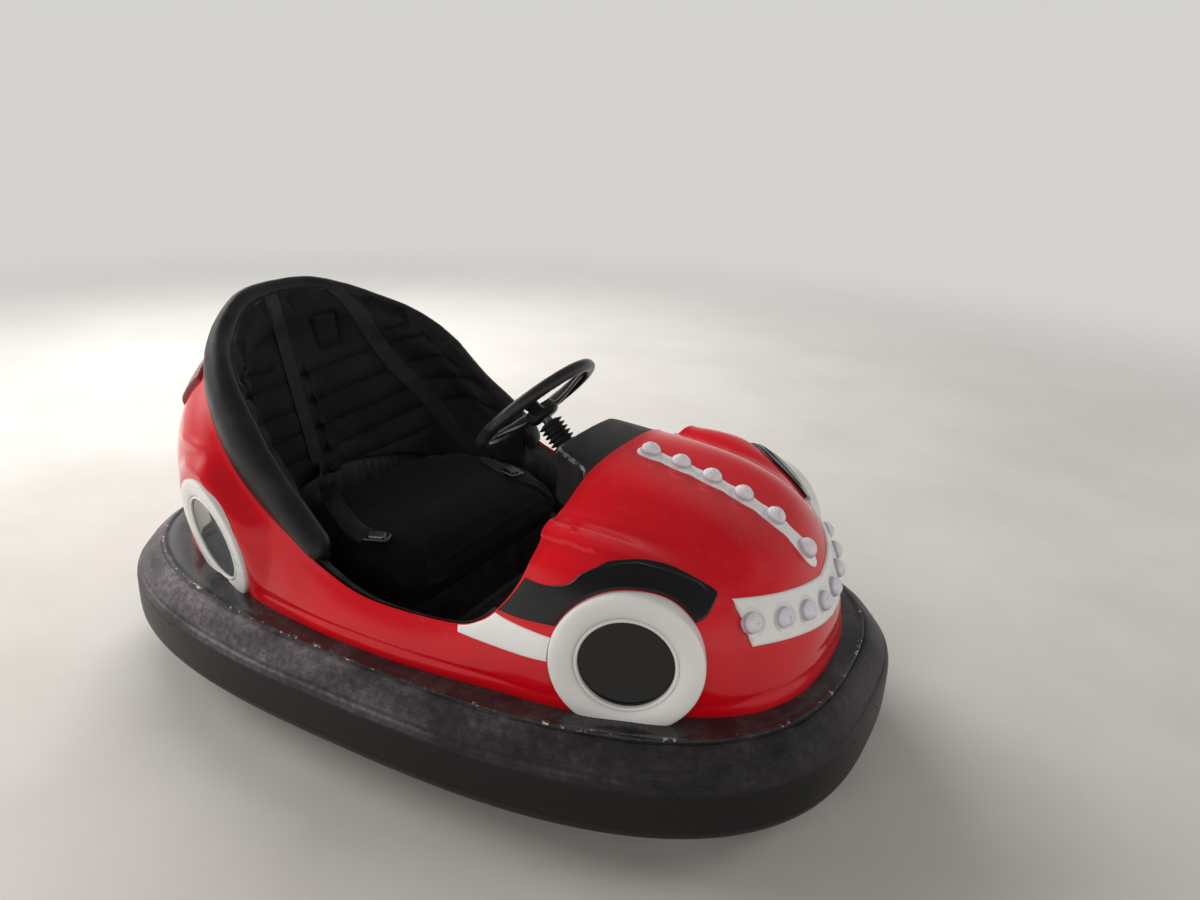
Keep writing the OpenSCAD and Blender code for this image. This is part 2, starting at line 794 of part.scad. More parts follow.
// Block under the cushion, a given distance inside its outline
module base_block(inset, z, h) {
    translate([cushion_front - cushion_len + inset, inset - cushion_w / 2, z])
        cube([cushion_len - 2 * inset, cushion_w - 2 * inset, h]);
}
module seat_base() {
    base_h = seat_z - cushion_t - floor_z - 2 * gap;
    color(gloss)
        difference() {
            base_block(base_in, floor_z + gap, base_h);
            base_block(base_in + base_t, floor_z - 1, base_h - base_t + 1);
        }
}
module seat_cushion() {
    r = 40;
    color(cloth)
        hull()
            for (p = [[cushion_front - cushion_len, corner_r], [cushion_front, -r]])
                for (s = [-1, 1])
                    translate([p[0] + p[1], s * (cushion_w / 2 - abs(p[1])), seat_z - cushion_t]) {
                        cylinder(r = abs(p[1]) - 10, h = cushion_t, $fn = 32);
                        translate([0, 0, 12])
                            cylinder(r = abs(p[1]), h = cushion_t - 40, $fn = 32);
                    }
}

// Harness webbing on the backrest, one strap each side
strap_t = 3;
strap_gap = 2.6;
STRAP_T = [171, 147];        // plan angles of each strap's top and low end
function strap_angle(v) = lerp(STRAP_T[0], STRAP_T[1], v);
module harness() {
    steps = 16;
    color(cloth)
        loft([
            for (i = [0:steps])
                let (
                    v = lerp(BACK_V[0] + 0.02, BACK_V[1] - 0.16, i / steps),
                    t = strap_angle(i / steps),
                    p = back_face(t, v, back_t + strap_gap),
                    q = back_face(t, v, back_t + strap_gap + strap_t),
                    w = strap_w / 2 * unit(back_face(t - 1, v, back_t) - back_face(t + 1, v, back_t))
                )
                [p - w, p + w, q + w, q - w]
        ]);
}
module harness_left() {
    harness();
}
module harness_right() {
    mirror([0, 1, 0]) harness();
}
// Buckles on the cushion, as distance ahead of its rear edge and from the centreline
BUCKLES = [[290, -285], [325, 215]];
buckle = [66, 40, 12];
module harness_buckles() {
    color("silver")
        for (p = BUCKLES)
            translate([cushion_front - cushion_len + p[0], p[1], seat_z + gap])
                translate([-buckle[0] / 2, -buckle[1] / 2, 0])
                    cube(buckle);
}

// Places children with +Z up the steering column, at a distance below the wheel's centre
module on_column(s) {
    translate([wheel_x, 0, wheel_z])
        rotate([0, -45, 0])
            translate([0, 0, -s])
                children();
}

column_top = 120;
column_low = 350;
module steering_column() {
    color(gloss)
        on_column(column_low)
            difference() {
                cylinder(d = column_d, h = column_low - column_top, $fn = 48);
                translate([0, 0, -1])
                    cylinder(d = shaft_d + 2 * gap, h = column_low - column_top + 2, $fn = 48);
            }
}

// Folded support between the floor and the column
bracket_t = 6;
bracket_s = 250;
bracket_x = wheel_x + bracket_s / sqrt(2);
module column_bracket() {
    z = wheel_z - bracket_s / sqrt(2);
    color(steel)
        difference() {
            translate([bracket_x - bracket_t / 2, 0, 0])
                rotate([90, 0, 90])
                    linear_extrude(bracket_t)
                        polygon([
                            [-70, floor_z + gap], [70, floor_z + gap], [40, z + 46], [-40, z + 46]
                        ]);
            on_column(bracket_s + 120)
                cylinder(d = column_d + 2 * gap, h = 240, $fn = 48);
        }
}

// Ribbed rubber boot above the column
module column_boot() {
    folds = 6;
    top = 52;
    pitch = (column_top - top - 2 * gap) / folds;
    color(rubber)
        on_column(column_top - gap)
            rotate_extrude($fn = 48)
                polygon(concat(
                    [[shaft_d / 2 + 1, 0]],
                    [
                        for (i = [0:folds - 1])
                            each [[column_d / 2 - 2, i * pitch], [column_d / 2 + 8, (i + 0.5) * pitch]]
                    ],
                    [[column_d / 2 - 2, folds * pitch], [shaft_d / 2 + 1, folds * pitch]]
                ));
}

hub_drop = 26;
module steering_wheel() {
    color(gloss)
        on_column(0)
            union() {
                rotate_extrude($fn = 96)
                    translate([wheel_r, 0])
                        circle(d = grip_d, $fn = 32);
                translate([0, 0, -hub_drop - 14])
                    cylinder(r = 38, h = 34, $fn = 48);
                for (a = [90, 210, 330])
                    rotate([0, 0, a + 90])
                        rotate([0, -atan(hub_drop / wheel_r) / 1.2, 0])
                            translate([20, -18, -hub_drop + 2])
                                cube([wheel_r - 22, 36, 9]);
            }
}
module steering_shaft() {
    color("silver")
        on_column(column_len - ball_r - gap)
            cylinder(d = shaft_d, h = column_len - ball_r - hub_drop - 14 - 2 * gap, $fn = 48);
}

// Accelerator pedal on the floor
pedal_past = 85;            // ahead of the bonnet's rear edge
pedal_side = 200;
module pedal() {
    color(steel)
        translate([cowl_x + pedal_past, -pedal_side, floor_z + mat_t + 2 * gap])
            union() {
                translate([-50, -35, 0])
                    cube([100, 70, 4]);
                rotate([0, -28, 0])
                    translate([-46, -30, 24])
                        cube([90, 60, 8]);
                translate([20, -10, 0])
                    cube([12, 20, 45]);
            }
}

// Bridge over the pan's hole, with the kingpin's bearing
module drive_bridge() {
    color(steel)
        translate([drive_x, 0, 0])
            difference() {
                union() {
                    translate([-40, -bridge_half, bridge_z])
                        cube([80, 2 * bridge_half, bridge_t]);
                    for (y = [-bridge_half, bridge_half - bridge_t])
                        translate([-40, y, floor_z + gap])
                            cube([80, bridge_t, bridge_z - floor_z]);
                    translate([0, 0, crown_z + crown_t + 6])
                        cylinder(r = bearing_r, h = bridge_z + bridge_t - crown_z - crown_t + 4, $fn = 48);
                }
                translate([0, 0, crown_z])
                    cylinder(r = kingpin_r + gap, h = 120, $fn = 48);
            }
}

module drive_fork() {
    leg_low = drive_r - 26;
    half = fork_gap / 2;
    color(steel)
        translate([drive_x, 0, 0])
            difference() {
                union() {
                    translate([-36, -half - fork_t, crown_z])
                        cube([72, fork_gap + 2 * fork_t, crown_t]);
                    for (y = [-half - fork_t, half])
                        translate([-24, y, leg_low])
                            cube([48, fork_t, crown_z - leg_low]);
                    translate([0, 0, crown_z])
                        cylinder(r = kingpin_r, h = joint_z - crown_z, $fn = 48);
                    translate([0, 0, joint_z])
                        sphere(r = ball_r, $fn = 48);
                    translate([0, half + fork_t + 4, drive_r])
                        rotate([90, 0, 0])
                            cylinder(r = axle_r, h = fork_gap + 2 * fork_t + 8, $fn = 32);
                }
            }
}

// Wheel with a plain hub on the Y axis, centred on the origin
module wheel_hub(hub_r, w) {
    rotate([90, 0, 0])
        difference() {
            union() {
                translate([0, 0, -w / 2])
                    cylinder(r = hub_r, h = w, $fn = 72);
                translate([0, 0, -w / 2 - 5])
                    cylinder(r = hub_r * 0.4, h = w + 10, $fn = 48);
            }
            translate([0, 0, -w])
                cylinder(r = axle_r + gap, h = 2 * w, $fn = 48);
        }
}
module tyre(r, w, hub_r) {
    c = 6;
    rotate([90, 0, 0])
        rotate_extrude($fn = 96)
            polygon([
                [hub_r + gap, -w / 2], [r - c, -w / 2], [r, -w / 2 + c],
                [r, w / 2 - c], [r - c, w / 2], [hub_r + gap, w / 2]
            ]);
}
drive_hub_r = 66;
rear_hub_r = 46;
module drive_hub() {
    color("silver")
        translate([drive_x, 0, drive_r])
            wheel_hub(drive_hub_r, drive_w);
}
module drive_tyre() {
    color(rubber)
        translate([drive_x, 0, drive_r])
            tyre(drive_r, drive_w, drive_hub_r);
}

// Rear wheel carriers
rear_ear_t = 6;
rear_gap = rear_w + 22;
module rear_fork(y) {
    color(steel)
        translate([-rear_x, y, 0])
            difference() {
                union() {
                    translate([-50, -rear_gap / 2 - rear_ear_t, pan_z - gap - 8])
                        cube([100, rear_gap + 2 * rear_ear_t, 8]);
                    for (s = [-rear_gap / 2 - rear_ear_t, rear_gap / 2])
                        translate([-22, s, rear_r - 20])
                            cube([44, rear_ear_t, pan_z - rear_r + 18]);
                }
                translate([0, rear_w * 2, rear_r])
                    rotate([90, 0, 0])
                        cylinder(r = axle_r, h = rear_w * 4, $fn = 48);
            }
}
module rear_forks() {
    for (s = [-1, 1])
        rear_fork(s * rear_y);
}
module rear_axles() {
    h = rear_gap + 2 * rear_ear_t + 10;
    color("silver")
        for (s = [-1, 1])
            translate([-rear_x, s * rear_y + h / 2, rear_r])
                rotate([90, 0, 0])
                    cylinder(r = axle_r - gap, h = h, $fn = 48);
}
module rear_hub(y) {
    color("silver")
        translate([-rear_x, y, rear_r])
            wheel_hub(rear_hub_r, rear_w);
}
module rear_tyre(y) {
    color(rubber)
        translate([-rear_x, y, rear_r])
            tyre(rear_r, rear_w, rear_hub_r);
}
module rear_hub_left() {
    rear_hub(rear_y);
}
module rear_tyre_left() {
    rear_tyre(rear_y);
}
module rear_hub_right() {
    rear_hub(-rear_y);
}
module rear_tyre_right() {
    rear_tyre(-rear_y);
}

// Battery as one plain block behind the seat
battery = [150, 500, 180];
battery_room = 105;         // from the liner's foot
module battery_pack() {
    color("dimgray")
        translate([-foot_back - battery_room - battery[0], -battery[1] / 2, floor_z + gap])
            cube(battery);
}

bumper_tube();
valve_stem();
rim_band();
floor_pan();
chassis_rails();
body_shell();
cockpit_liner();
floor_mat();
dash_cowl();
front_trims();
rear_trims();
front_discs();
rear_discs();
arch_bands();
side_stripes();
lamp_strip();
strip_lamps();
nose_band();
nose_lamps();
tail_lamps();
padded_roll();
backrest();
seat_base();
seat_cushion();
harness_left();
harness_right();
harness_buckles();
column_bracket();
steering_column();
column_boot();
steering_wheel();
steering_shaft();
pedal();
drive_bridge();
drive_fork();
drive_hub();
drive_tyre();
rear_forks();
rear_axles();
rear_hub_left();
rear_tyre_left();
rear_hub_right();
rear_tyre_right();
battery_pack();
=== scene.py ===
"""Finish of a two-seat fairground bumper car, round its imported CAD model, in metres."""
import math

import bmesh
import bpy
import numpy as np
from mathutils import Matrix, Vector
from mathutils.bvhtree import BVHTree


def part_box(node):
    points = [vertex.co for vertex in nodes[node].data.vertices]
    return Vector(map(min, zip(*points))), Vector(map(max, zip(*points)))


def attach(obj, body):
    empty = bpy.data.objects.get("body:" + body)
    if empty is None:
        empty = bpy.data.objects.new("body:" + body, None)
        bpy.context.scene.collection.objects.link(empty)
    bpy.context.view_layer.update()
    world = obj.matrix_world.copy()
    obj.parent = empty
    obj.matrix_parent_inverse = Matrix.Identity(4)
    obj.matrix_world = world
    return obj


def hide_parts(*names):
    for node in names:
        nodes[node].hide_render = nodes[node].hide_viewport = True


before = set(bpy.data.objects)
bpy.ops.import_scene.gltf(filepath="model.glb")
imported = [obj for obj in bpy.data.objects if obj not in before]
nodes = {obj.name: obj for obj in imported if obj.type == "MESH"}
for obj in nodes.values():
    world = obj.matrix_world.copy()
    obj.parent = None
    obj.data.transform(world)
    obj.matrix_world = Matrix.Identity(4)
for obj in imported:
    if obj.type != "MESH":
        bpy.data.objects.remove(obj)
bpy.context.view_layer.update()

# Camera, as solved from the photograph
PHOTO_W, PHOTO_H = 1200, 900
FOCAL = 971.4
CAMERA_AT = Vector((1.2376, -1.8087, 1.407))
CAMERA_HEADING = 117.81
CAMERA_PITCH = 20.97
CAMERA_ROLL = 2.57


def turn(degrees, axis):
    return Matrix.Rotation(math.radians(degrees), 4, axis)


def add_object(name, data):
    thing = bpy.data.objects.new(name, data)
    bpy.context.scene.collection.objects.link(thing)
    return thing


def make_camera():
    data = bpy.data.cameras.new("camera")
    data.sensor_fit = "HORIZONTAL"
    data.sensor_width = 36
    data.lens = data.sensor_width * FOCAL / PHOTO_W
    camera = add_object("camera", data)
    camera.matrix_world = (Matrix.Translation(CAMERA_AT) @ turn(CAMERA_HEADING - 90, "Z")
                           @ turn(90 - CAMERA_PITCH, "X") @ turn(CAMERA_ROLL, "Z"))
    bpy.context.scene.camera = camera
    return camera


camera = make_camera()

# Sizes that the pieces follow
low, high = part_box("bumper_tube")
LENGTH, WIDTH = (high - low).x, (high - low).y
TUBE_LOW, TUBE_HIGH = low.z, high.z
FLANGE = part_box("rim_band")[1].z
GAP = 0.0003
FOOT = FLANGE + GAP
PLAN_POWER = 2.72
TUBE_T = 0.070
FLANGE_W = 0.086
SHELL_IN = 0.106
SHELL_T = 0.005
COWL_X = LENGTH / 2 - 0.620
BACK_X = LENGTH / 2 - 0.240
OPEN_HALF = WIDTH / 2 - 0.145
HOOD_Z = 0.650
SILL_Z = 0.368
BACK_Z = 0.766
FLOOR_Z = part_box("floor_pan")[1].z
ROLL_W = 0.062
ROLL_H = 0.115
BACK_PAD_T = 0.040
LIP = 0.034
LINER_T = 0.004
TRIM_R = 0.149
DISC_R = 0.092
DOME_R = 0.022

# Shell ribs with the same columns as the CAD source: angle, foot inset in mm, the edge's
# x, y and z as shares, lean, rise, reach, swell and drop
RIBS = np.array([
    [0, 2, 1.00, 0.00, 1.00, 0.00, 0.65, 0.73, 0.00, 0.12],
    [14, 6, 1.00, 0.33, 0.96, -0.09, 0.66, 0.78, 0.00, 0.05],
    [25, 11, 1.00, 0.58, 0.80, -0.08, 0.66, 0.80, 0.00, -0.02],
    [34, 17, 1.02, 0.72, 0.81, 0.08, 0.60, 0.78, 0.00, -0.03],
    [43, 24, 1.04, 0.81, 0.77, 0.22, 0.50, 0.80, 0.12, -0.08],
    [52, 19, 1.05, 0.89, 0.65, 0.20, 0.50, 0.75, 0.14, -0.06],
    [60, 11, 1.01, 0.93, 0.48, 0.16, 0.50, 0.70, 0.14, -0.05],
    [67, 10, 0.92, 0.96, 0.29, 0.15, 0.50, 0.60, 0.12, 0.00],
    [74, 15, 0.78, 0.98, 0.12, 0.08, 0.45, 0.50, 0.08, 0.05],
    [80, 10, 0.57, 0.99, 0.03, 0.06, 0.45, 0.40, 0.06, 0.10],
    [90, 0, 0.00, 1.00, 0.00, 0.05, 0.45, 0.35, 0.06, 0.10],
    [98, 7, 0.18, 0.99, 0.08, 0.06, 0.50, 0.35, 0.06, 0.10],
    [106, 14, 0.32, 0.985, 0.22, 0.08, 0.45, 0.40, 0.08, 0.12],
    [113, 21, 0.45, 0.96, 0.34, 0.18, 0.50, 0.50, 0.20, 0.10],
    [120, 26, 0.56, 0.93, 0.48, 0.17, 0.50, 0.50, 0.20, 0.10],
    [128, 26, 0.66, 0.875, 0.62, 0.13, 0.50, 0.50, 0.17, 0.12],
    [137, 24, 0.76, 0.78, 0.74, 0.08, 0.50, 0.55, 0.14, 0.12],
    [147, 20, 0.855, 0.64, 0.83, 0.06, 0.50, 0.60, 0.10, 0.12],
    [158, 14, 0.925, 0.47, 0.92, 0.04, 0.50, 0.70, 0.05, 0.12],
    [169, 8, 0.98, 0.26, 0.985, 0.03, 0.50, 0.75, 0.03, 0.12],
    [180, 6, 1.00, 0.00, 1.00, 0.03, 0.50, 0.75, 0.03, 0.12],
])
ANGLE, INSET, EDGE_X, EDGE_Y, EDGE_Z, LEAN, RISE, REACH, SWELL, DROP = range(10)


def rib_table():
    """The ribs in metres, with a mirrored row before the first and after the last."""
    rows = RIBS.copy()
    rows[:, INSET] /= 1000
    rows[:, EDGE_X] *= np.where(RIBS[:, ANGLE] <= 90, COWL_X, -BACK_X)
    rows[:, EDGE_Y] *= OPEN_HALF
    top = np.where(RIBS[:, ANGLE] < 90, HOOD_Z, BACK_Z)
    rows[:, EDGE_Z] = SILL_Z + (top - SILL_Z) * RIBS[:, EDGE_Z]
    rise = rows[:, EDGE_Z] - FOOT
    for column in (LEAN, RISE, SWELL, DROP):
        rows[:, column] *= rise
    flip = np.ones(rows.shape[1])
    flip[EDGE_Y] = -1
    return np.vstack([rows[1] * flip, rows, rows[-2] * flip])


RIB_TABLE = rib_table()


def unit(v):
    return v / np.linalg.norm(v, axis=-1, keepdims=True)


def run_along(points):
    """Distance along a line of points, at each of them."""
    return np.r_[0, np.cumsum(np.linalg.norm(np.diff(points, axis=0), axis=1))]


def circle(n):
    """Angles of n points round a circle."""
    return np.linspace(0, 2 * np.pi, n, endpoint=False)


def signed_power(x, power):
    return np.sign(x) * np.abs(x) ** power


def bell(x, width, power=2):
    """1 where x is 0, fading out past a width."""
    return np.exp(-(x / width) ** power)


def smooth_step(x):
    x = np.clip(x, 0, 1)
    return x * x * (3 - 2 * x)


def catmull(p0, p1, p2, p3, f):
    return p1 + 0.5 * f * (p2 - p0 + f * (2 * p0 - 5 * p1 + 4 * p2 - p3 + f * (3 * (p1 - p2) + p3 - p0)))


def spline(points, steps, closed=False):
    """Smooth curve through points, with a number of steps between each pair."""
    p = np.asarray(points, float)
    n = len(p)
    spans = n if closed else n - 1
    at = np.linspace(0, spans, spans * steps + (0 if closed else 1), endpoint=not closed)
    i = np.minimum(at.astype(int), spans - 1)
    f = (at - i)[:, None]
    near = [(i + k) % n if closed else np.clip(i + k, 0, n - 1) for k in (-1, 0, 1, 2)]
    return catmull(*(p[k] for k in near), f)


def fold_angle(t):
    """The same angle from -180 to 180."""
    return (np.asarray(t, float) + 180) % 360 - 180


def rib(t):
    a = np.abs(fold_angle(t))
    i = np.clip(np.searchsorted(RIBS[:, ANGLE], a, side="right") - 1, 0, len(RIBS) - 2)
    f = ((a - RIBS[i, ANGLE]) / (RIBS[i + 1, ANGLE] - RIBS[i, ANGLE]))[..., None]
    return catmull(*(RIB_TABLE[i + k] for k in range(4)), f)


def plan(t, inset):
    """Points of the plan outline at angles t, a distance inside the bumper's outside."""
    x = (LENGTH / 2 - inset) * signed_power(np.cos(np.radians(t)), 2 / PLAN_POWER)
    y = (WIDTH / 2 - inset) * signed_power(np.sin(np.radians(t)), 2 / PLAN_POWER)
    return np.stack([x, y], -1)


def even_angles(n, start=-180.0, end=180.0, inset=SHELL_IN):
    """Angles that divide the outline between two angles into equal lengths."""
    fine = np.linspace(start, end, 30001)
    run = run_along(plan(fine, inset))
    whole = end - start >= 360
    return np.interp(np.linspace(0, run[-1], n, endpoint=not whole), run, fine)


def side_of(t):
    return np.where(np.sin(np.radians(t)) < 0, -1.0, 1.0)


def edge(t):
    """The opening's edge at angles t."""
    r = rib(t)
    return np.stack([r[..., EDGE_X], side_of(t) * r[..., EDGE_Y], r[..., EDGE_Z]], -1)


def handles(t):
    r = rib(t)
    e = edge(t)
    p = plan(t, SHELL_IN + r[..., INSET])
    out = unit(np.stack([np.cos(np.radians(t)) / LENGTH, np.sin(np.radians(t)) / WIDTH], -1))
    lower = p + out * r[..., LEAN, None]
    upper = e[..., :2] + (p - e[..., :2]) * r[..., REACH, None] + out * r[..., SWELL, None]
    z = [np.full(r.shape[:-1], FOOT), FOOT + r[..., RISE], e[..., 2] - r[..., DROP]]
    flat = [np.concatenate([q, h[..., None]], -1) for q, h in zip((p, lower, upper), z)]
    return flat + [e]


def skin(t, u):
    """Points of the shell at angles t and shares u up the ribs, without its relief."""
    t, u = np.broadcast_arrays(np.asarray(t, float), np.asarray(u, float))
    a, b, c, d = handles(t)
    u = u[..., None]
    v = 1 - u
    return v ** 3 * a + 3 * u * v ** 2 * b + 3 * u * u * v * c + u ** 3 * d


def skin_normal(t, u):
    around = skin(t + 0.5, u) - skin(t - 0.5, u)
    up = skin(t, np.minimum(u + 0.01, 1)) - skin(t, np.maximum(u - 0.01, 0))
    return unit(np.cross(around, up))


def off_skin(t, u, distance):
    return skin(t, u) + skin_normal(t, u) * np.asarray(distance)[..., None]


def share_at(t, axis, value, top=1.0):
    """Share up the ribs at angles t where the skin reaches a value of x or z."""
    t = np.asarray(t, float)
    value = np.broadcast_to(value, t.shape)
    lo, hi = np.zeros(t.shape), np.full(t.shape, top)
    sign = -1 if axis == 0 else 1
    for _ in range(16):
        mid = (lo + hi) / 2
        past = (skin(t, mid)[..., axis] - value) * sign > 0
        hi = np.where(past, mid, hi)
        lo = np.where(past, lo, mid)
    return (lo + hi) / 2


def line_distance(points, line):
    """Distance of points from a line of points, and where along it the nearest place is."""
    line = np.asarray(line, float)
    lengths = np.linalg.norm(np.diff(line, axis=0), axis=1)
    starts = np.r_[0, np.cumsum(lengths)]
    best = np.full(points.shape[:-1], 1e9)
    along = np.zeros(points.shape[:-1])
    for k, (a, b) in enumerate(zip(line[:-1], line[1:])):
        f = np.clip((points - a) @ (b - a) / lengths[k] ** 2, 0, 1)
        d = np.linalg.norm(points - a - f[..., None] * (b - a), axis=-1)
        nearer = d < best
        best = np.where(nearer, d, best)
        along = np.where(nearer, (starts[k] + f * lengths[k]) / starts[-1], along)
    return best, along


class Nodes:
    """A node tree with short calls to add to it."""

    def __init__(self, tree):
        self.tree = tree

    def add(self, kind, inputs=(), **props):
        node = self.tree.nodes.new(kind)
        for key, value in props.items():
            setattr(node, key, value)
        for key, value in dict(inputs).items():
            self.feed(node.inputs[key], value)
        return node

    def feed(self, socket, value):
        if isinstance(value, bpy.types.NodeSocket):
            self.tree.links.new(value, socket)
        elif isinstance(value, (tuple, list)) and len(value) == 3 and socket.type == "RGBA":
            socket.default_value = (*value, 1)
        else:
            socket.default_value = value

    def math(self, operation, a, b=0.0, c=0.0):
        node = self.add("ShaderNodeMath", operation=operation)
        for socket, value in zip(node.inputs, (a, b, c)):
            self.feed(socket, value)
        return node.outputs[0]

    def times(self, a, b):
        return self.math("MULTIPLY", a, b)

    def range(self, value, low_in, high_in, low_out=0.0, high_out=1.0):
        return self.add("ShaderNodeMapRange", {
            "Value": value, "From Min": low_in, "From Max": high_in,
            "To Min": low_out, "To Max": high_out}, interpolation_type="SMOOTHSTEP").outputs["Result"]

    def mix(self, factor, a, b):
        node = self.add("ShaderNodeMix", data_type="RGBA")
        self.feed(node.inputs["Factor"], factor)
        self.feed(node.inputs[6], a)
        self.feed(node.inputs[7], b)
        return node.outputs[2]

    def seen_plainly(self):
        """1 for rays from the camera, and for those that a gloss or a clear piece sends on."""
        path = self.add("ShaderNodeLightPath").outputs
        either = self.math("ADD", path["Is Camera Ray"], path["Is Glossy Ray"])
        return self.math("MINIMUM", self.math("ADD", either, path["Is Transmission Ray"]), 1.0)


class Paint(Nodes):
    """A Principled material with the procedural nodes that vary it over the surface."""

    def __init__(self, name, color, rough, **values):
        self.mat = bpy.data.materials.new(name)
        self.mat.use_nodes = True
        super().__init__(self.mat.node_tree)
        self.shader = self.tree.nodes["Principled BSDF"]
        self.place = self.add("ShaderNodeTexCoord").outputs["Object"]
        self.normal = None
        self.mat.diffuse_color = (*color, 1)
        self.shader.inputs["Base Color"].default_value = (*color, 1)
        self.shader.inputs["Roughness"].default_value = rough
        for key, value in values.items():
            self.shader.inputs[key.replace("_", " ")].default_value = value

    def scaled(self, scale):
        """The object's coordinates with each axis scaled."""
        return self.add("ShaderNodeMapping", {"Vector": self.place, "Scale": scale}).outputs["Vector"]

    def noise(self, scale, detail=3.0, rough=0.55, stretch=None, distortion=0.0):
        place = self.scaled(stretch) if stretch else self.place
        return self.add("ShaderNodeTexNoise", {
            "Vector": place, "Scale": scale, "Detail": detail, "Roughness": rough,
            "Distortion": distortion}).outputs["Fac"]

    def cells(self, scale, stretch=None):
        place = self.scaled(stretch) if stretch else self.place
        return self.add("ShaderNodeTexVoronoi", {"Vector": place, "Scale": scale}).outputs["Distance"]

    def waves(self, scale, axis="X", stretch=None, distortion=0.0):
        place = self.scaled(stretch) if stretch else self.place
        node = self.add("ShaderNodeTexWave", {
            "Vector": place, "Scale": scale, "Distortion": distortion}, bands_direction=axis)
        return node.outputs["Fac"]

    def attribute(self, name):
        return self.add("ShaderNodeAttribute", attribute_name=name).outputs["Fac"]

    def facing_up(self):
        """The surface normal's z, from -1 to 1."""
        normal = self.add("ShaderNodeNewGeometry").outputs["Normal"]
        return self.add("ShaderNodeSeparateXYZ", {"Vector": normal}).outputs["Z"]

    def coordinate(self, axis):
        return self.add("ShaderNodeSeparateXYZ", {"Vector": self.place}).outputs[axis]

    def set(self, key, value):
        self.feed(self.shader.inputs[key], value)
        return self

    def bump(self, value, distance, strength=1.0):
        node = self.add("ShaderNodeBump", {"Height": value, "Distance": distance, "Strength": strength})
        if self.normal:
            self.feed(node.inputs["Normal"], self.normal)
        self.normal = node.outputs["Normal"]
        self.set("Normal", self.normal)
        return self


# Materials
def gelcoat(name, color, dust, worn, dust_share=0.25, rough=0.16):
    """Sprayed gelcoat: glossy, faintly wavy, with dust above and fine wear."""
    p = Paint(name, color, rough, Coat_Weight=0.2, Coat_Roughness=0.05, Specular_IOR_Level=0.4)
    shade = p.mix(p.range(p.noise(3.2, 2), 0.35, 0.7), color, tuple(c * 0.86 for c in color))
    upward = p.range(p.facing_up(), 0.2, 1.0, 0.3, 1)
    dirt = p.times(p.range(p.noise(26, 6, 0.7), 0.52, 0.78), upward)
    dusty = p.mix(p.times(dirt, dust_share), shade, dust)
    specks = p.range(p.cells(300), 0.0, 0.09, 1, 0)
    rare = p.times(specks, p.range(p.noise(9, 2), 0.58, 0.7))
    p.set("Base Color", p.mix(p.times(rare, 0.5), dusty, worn))
    scuffs = p.range(p.noise(7, 7, 0.75, (1, 1, 3)), 0.45, 0.75)
    p.set("Roughness", p.math("MULTIPLY_ADD", scuffs, 0.16, rough))
    p.bump(p.noise(60, 2), 0.00025, 0.5)
    p.bump(p.noise(7, 2), 0.0012, 0.35)
    return p


def weathered(name, clean, dirty, spots, cut, roughs, **values):
    """Paint with soft dirty spots: their noise, its range, and the roughness clean and dirty."""
    p = Paint(name, clean, roughs[0], **values)
    dirt = p.range(p.noise(*spots), *cut)
    p.set("Base Color", p.mix(dirt, clean, dirty))
    return p.set("Roughness", p.range(dirt, 0, 1, *roughs))


def make_smoked():
    """Disc of smoked plastic, hazed and scratched."""
    p = Paint("smoked_finish", (0.014, 0.014, 0.015), 0.12, Coat_Weight=0.4, Coat_Roughness=0.05)
    haze = p.range(p.noise(9, 4, 0.6, (1, 1, 2)), 0.35, 0.8)
    p.set("Base Color", p.mix(p.times(haze, 0.35), (0.014, 0.014, 0.015), (0.13, 0.13, 0.135)))
    scratches = p.range(p.noise(40, 8, 0.9, (1, 0.15, 6)), 0.6, 0.72)
    p.set("Roughness", p.math("ADD", p.times(haze, 0.18), p.times(scratches, 0.2)))
    p.bump(scratches, 0.0002, 0.4)
    return p


def make_rubber():
    """Bumper rubber: near black at the side, with grey-brown dust where it faces up. The dust and its pale
    spots are painted brighter towards the rear as a painted highlight and dimmer towards the front as
    painted shade, and the grooves are darkened with painted shade.
    """
    black, dust, pale = (0.0085, 0.0078, 0.0078), (0.21, 0.18, 0.19), (0.30, 0.26, 0.26)
    p = Paint("bumper_rubber_finish", black, 0.5, Specular_IOR_Level=0.28)
    up = p.range(p.facing_up(), 0.05, 0.95)
    cloud = p.range(p.noise(6, 6, 0.62, (1, 1, 2.5)), 0.32, 0.72, 0.25, 1)
    fine = p.range(p.noise(55, 6, 0.7), 0.35, 0.75, 0.35, 1)
    # Painted light: brighter towards the rear, where the bright side glares, and dimmer towards the front,
    # as painted shade
    painted_rear_glare = p.range(p.coordinate("X"), 0.75, -0.75, 0.14, 1.0)
    dust_and_glare = p.times(p.times(up, cloud), p.times(fine, painted_rear_glare))
    dust_and_glare = p.math("MINIMUM", p.times(dust_and_glare, 2.2), 1.0)
    # Painted shade: the colour is darkened towards black along these grooves
    grooves = p.range(p.math("SINE", p.times(p.attribute("girth"), 780.0)), 0.80, 1.0)
    layer = p.mix(p.times(grooves, 0.30), p.mix(dust_and_glare, black, dust), black)
    # Pale dust spots, also painted brighter towards the rear
    spots = p.times(p.range(p.noise(23, 8, 0.8), 0.60, 0.72), p.times(up, painted_rear_glare))
    p.set("Base Color", p.mix(p.times(spots, 0.45), layer, pale))
    p.set("Roughness", p.range(dust_and_glare, 0, 1, 0.42, 0.68))
    p.bump(grooves, -0.0006, 0.4)
    p.bump(p.noise(140, 4), 0.0006, 0.5)
    p.bump(p.noise(11, 3, 0.5, (1, 1, 3)), 0.004, 0.35)
    return p


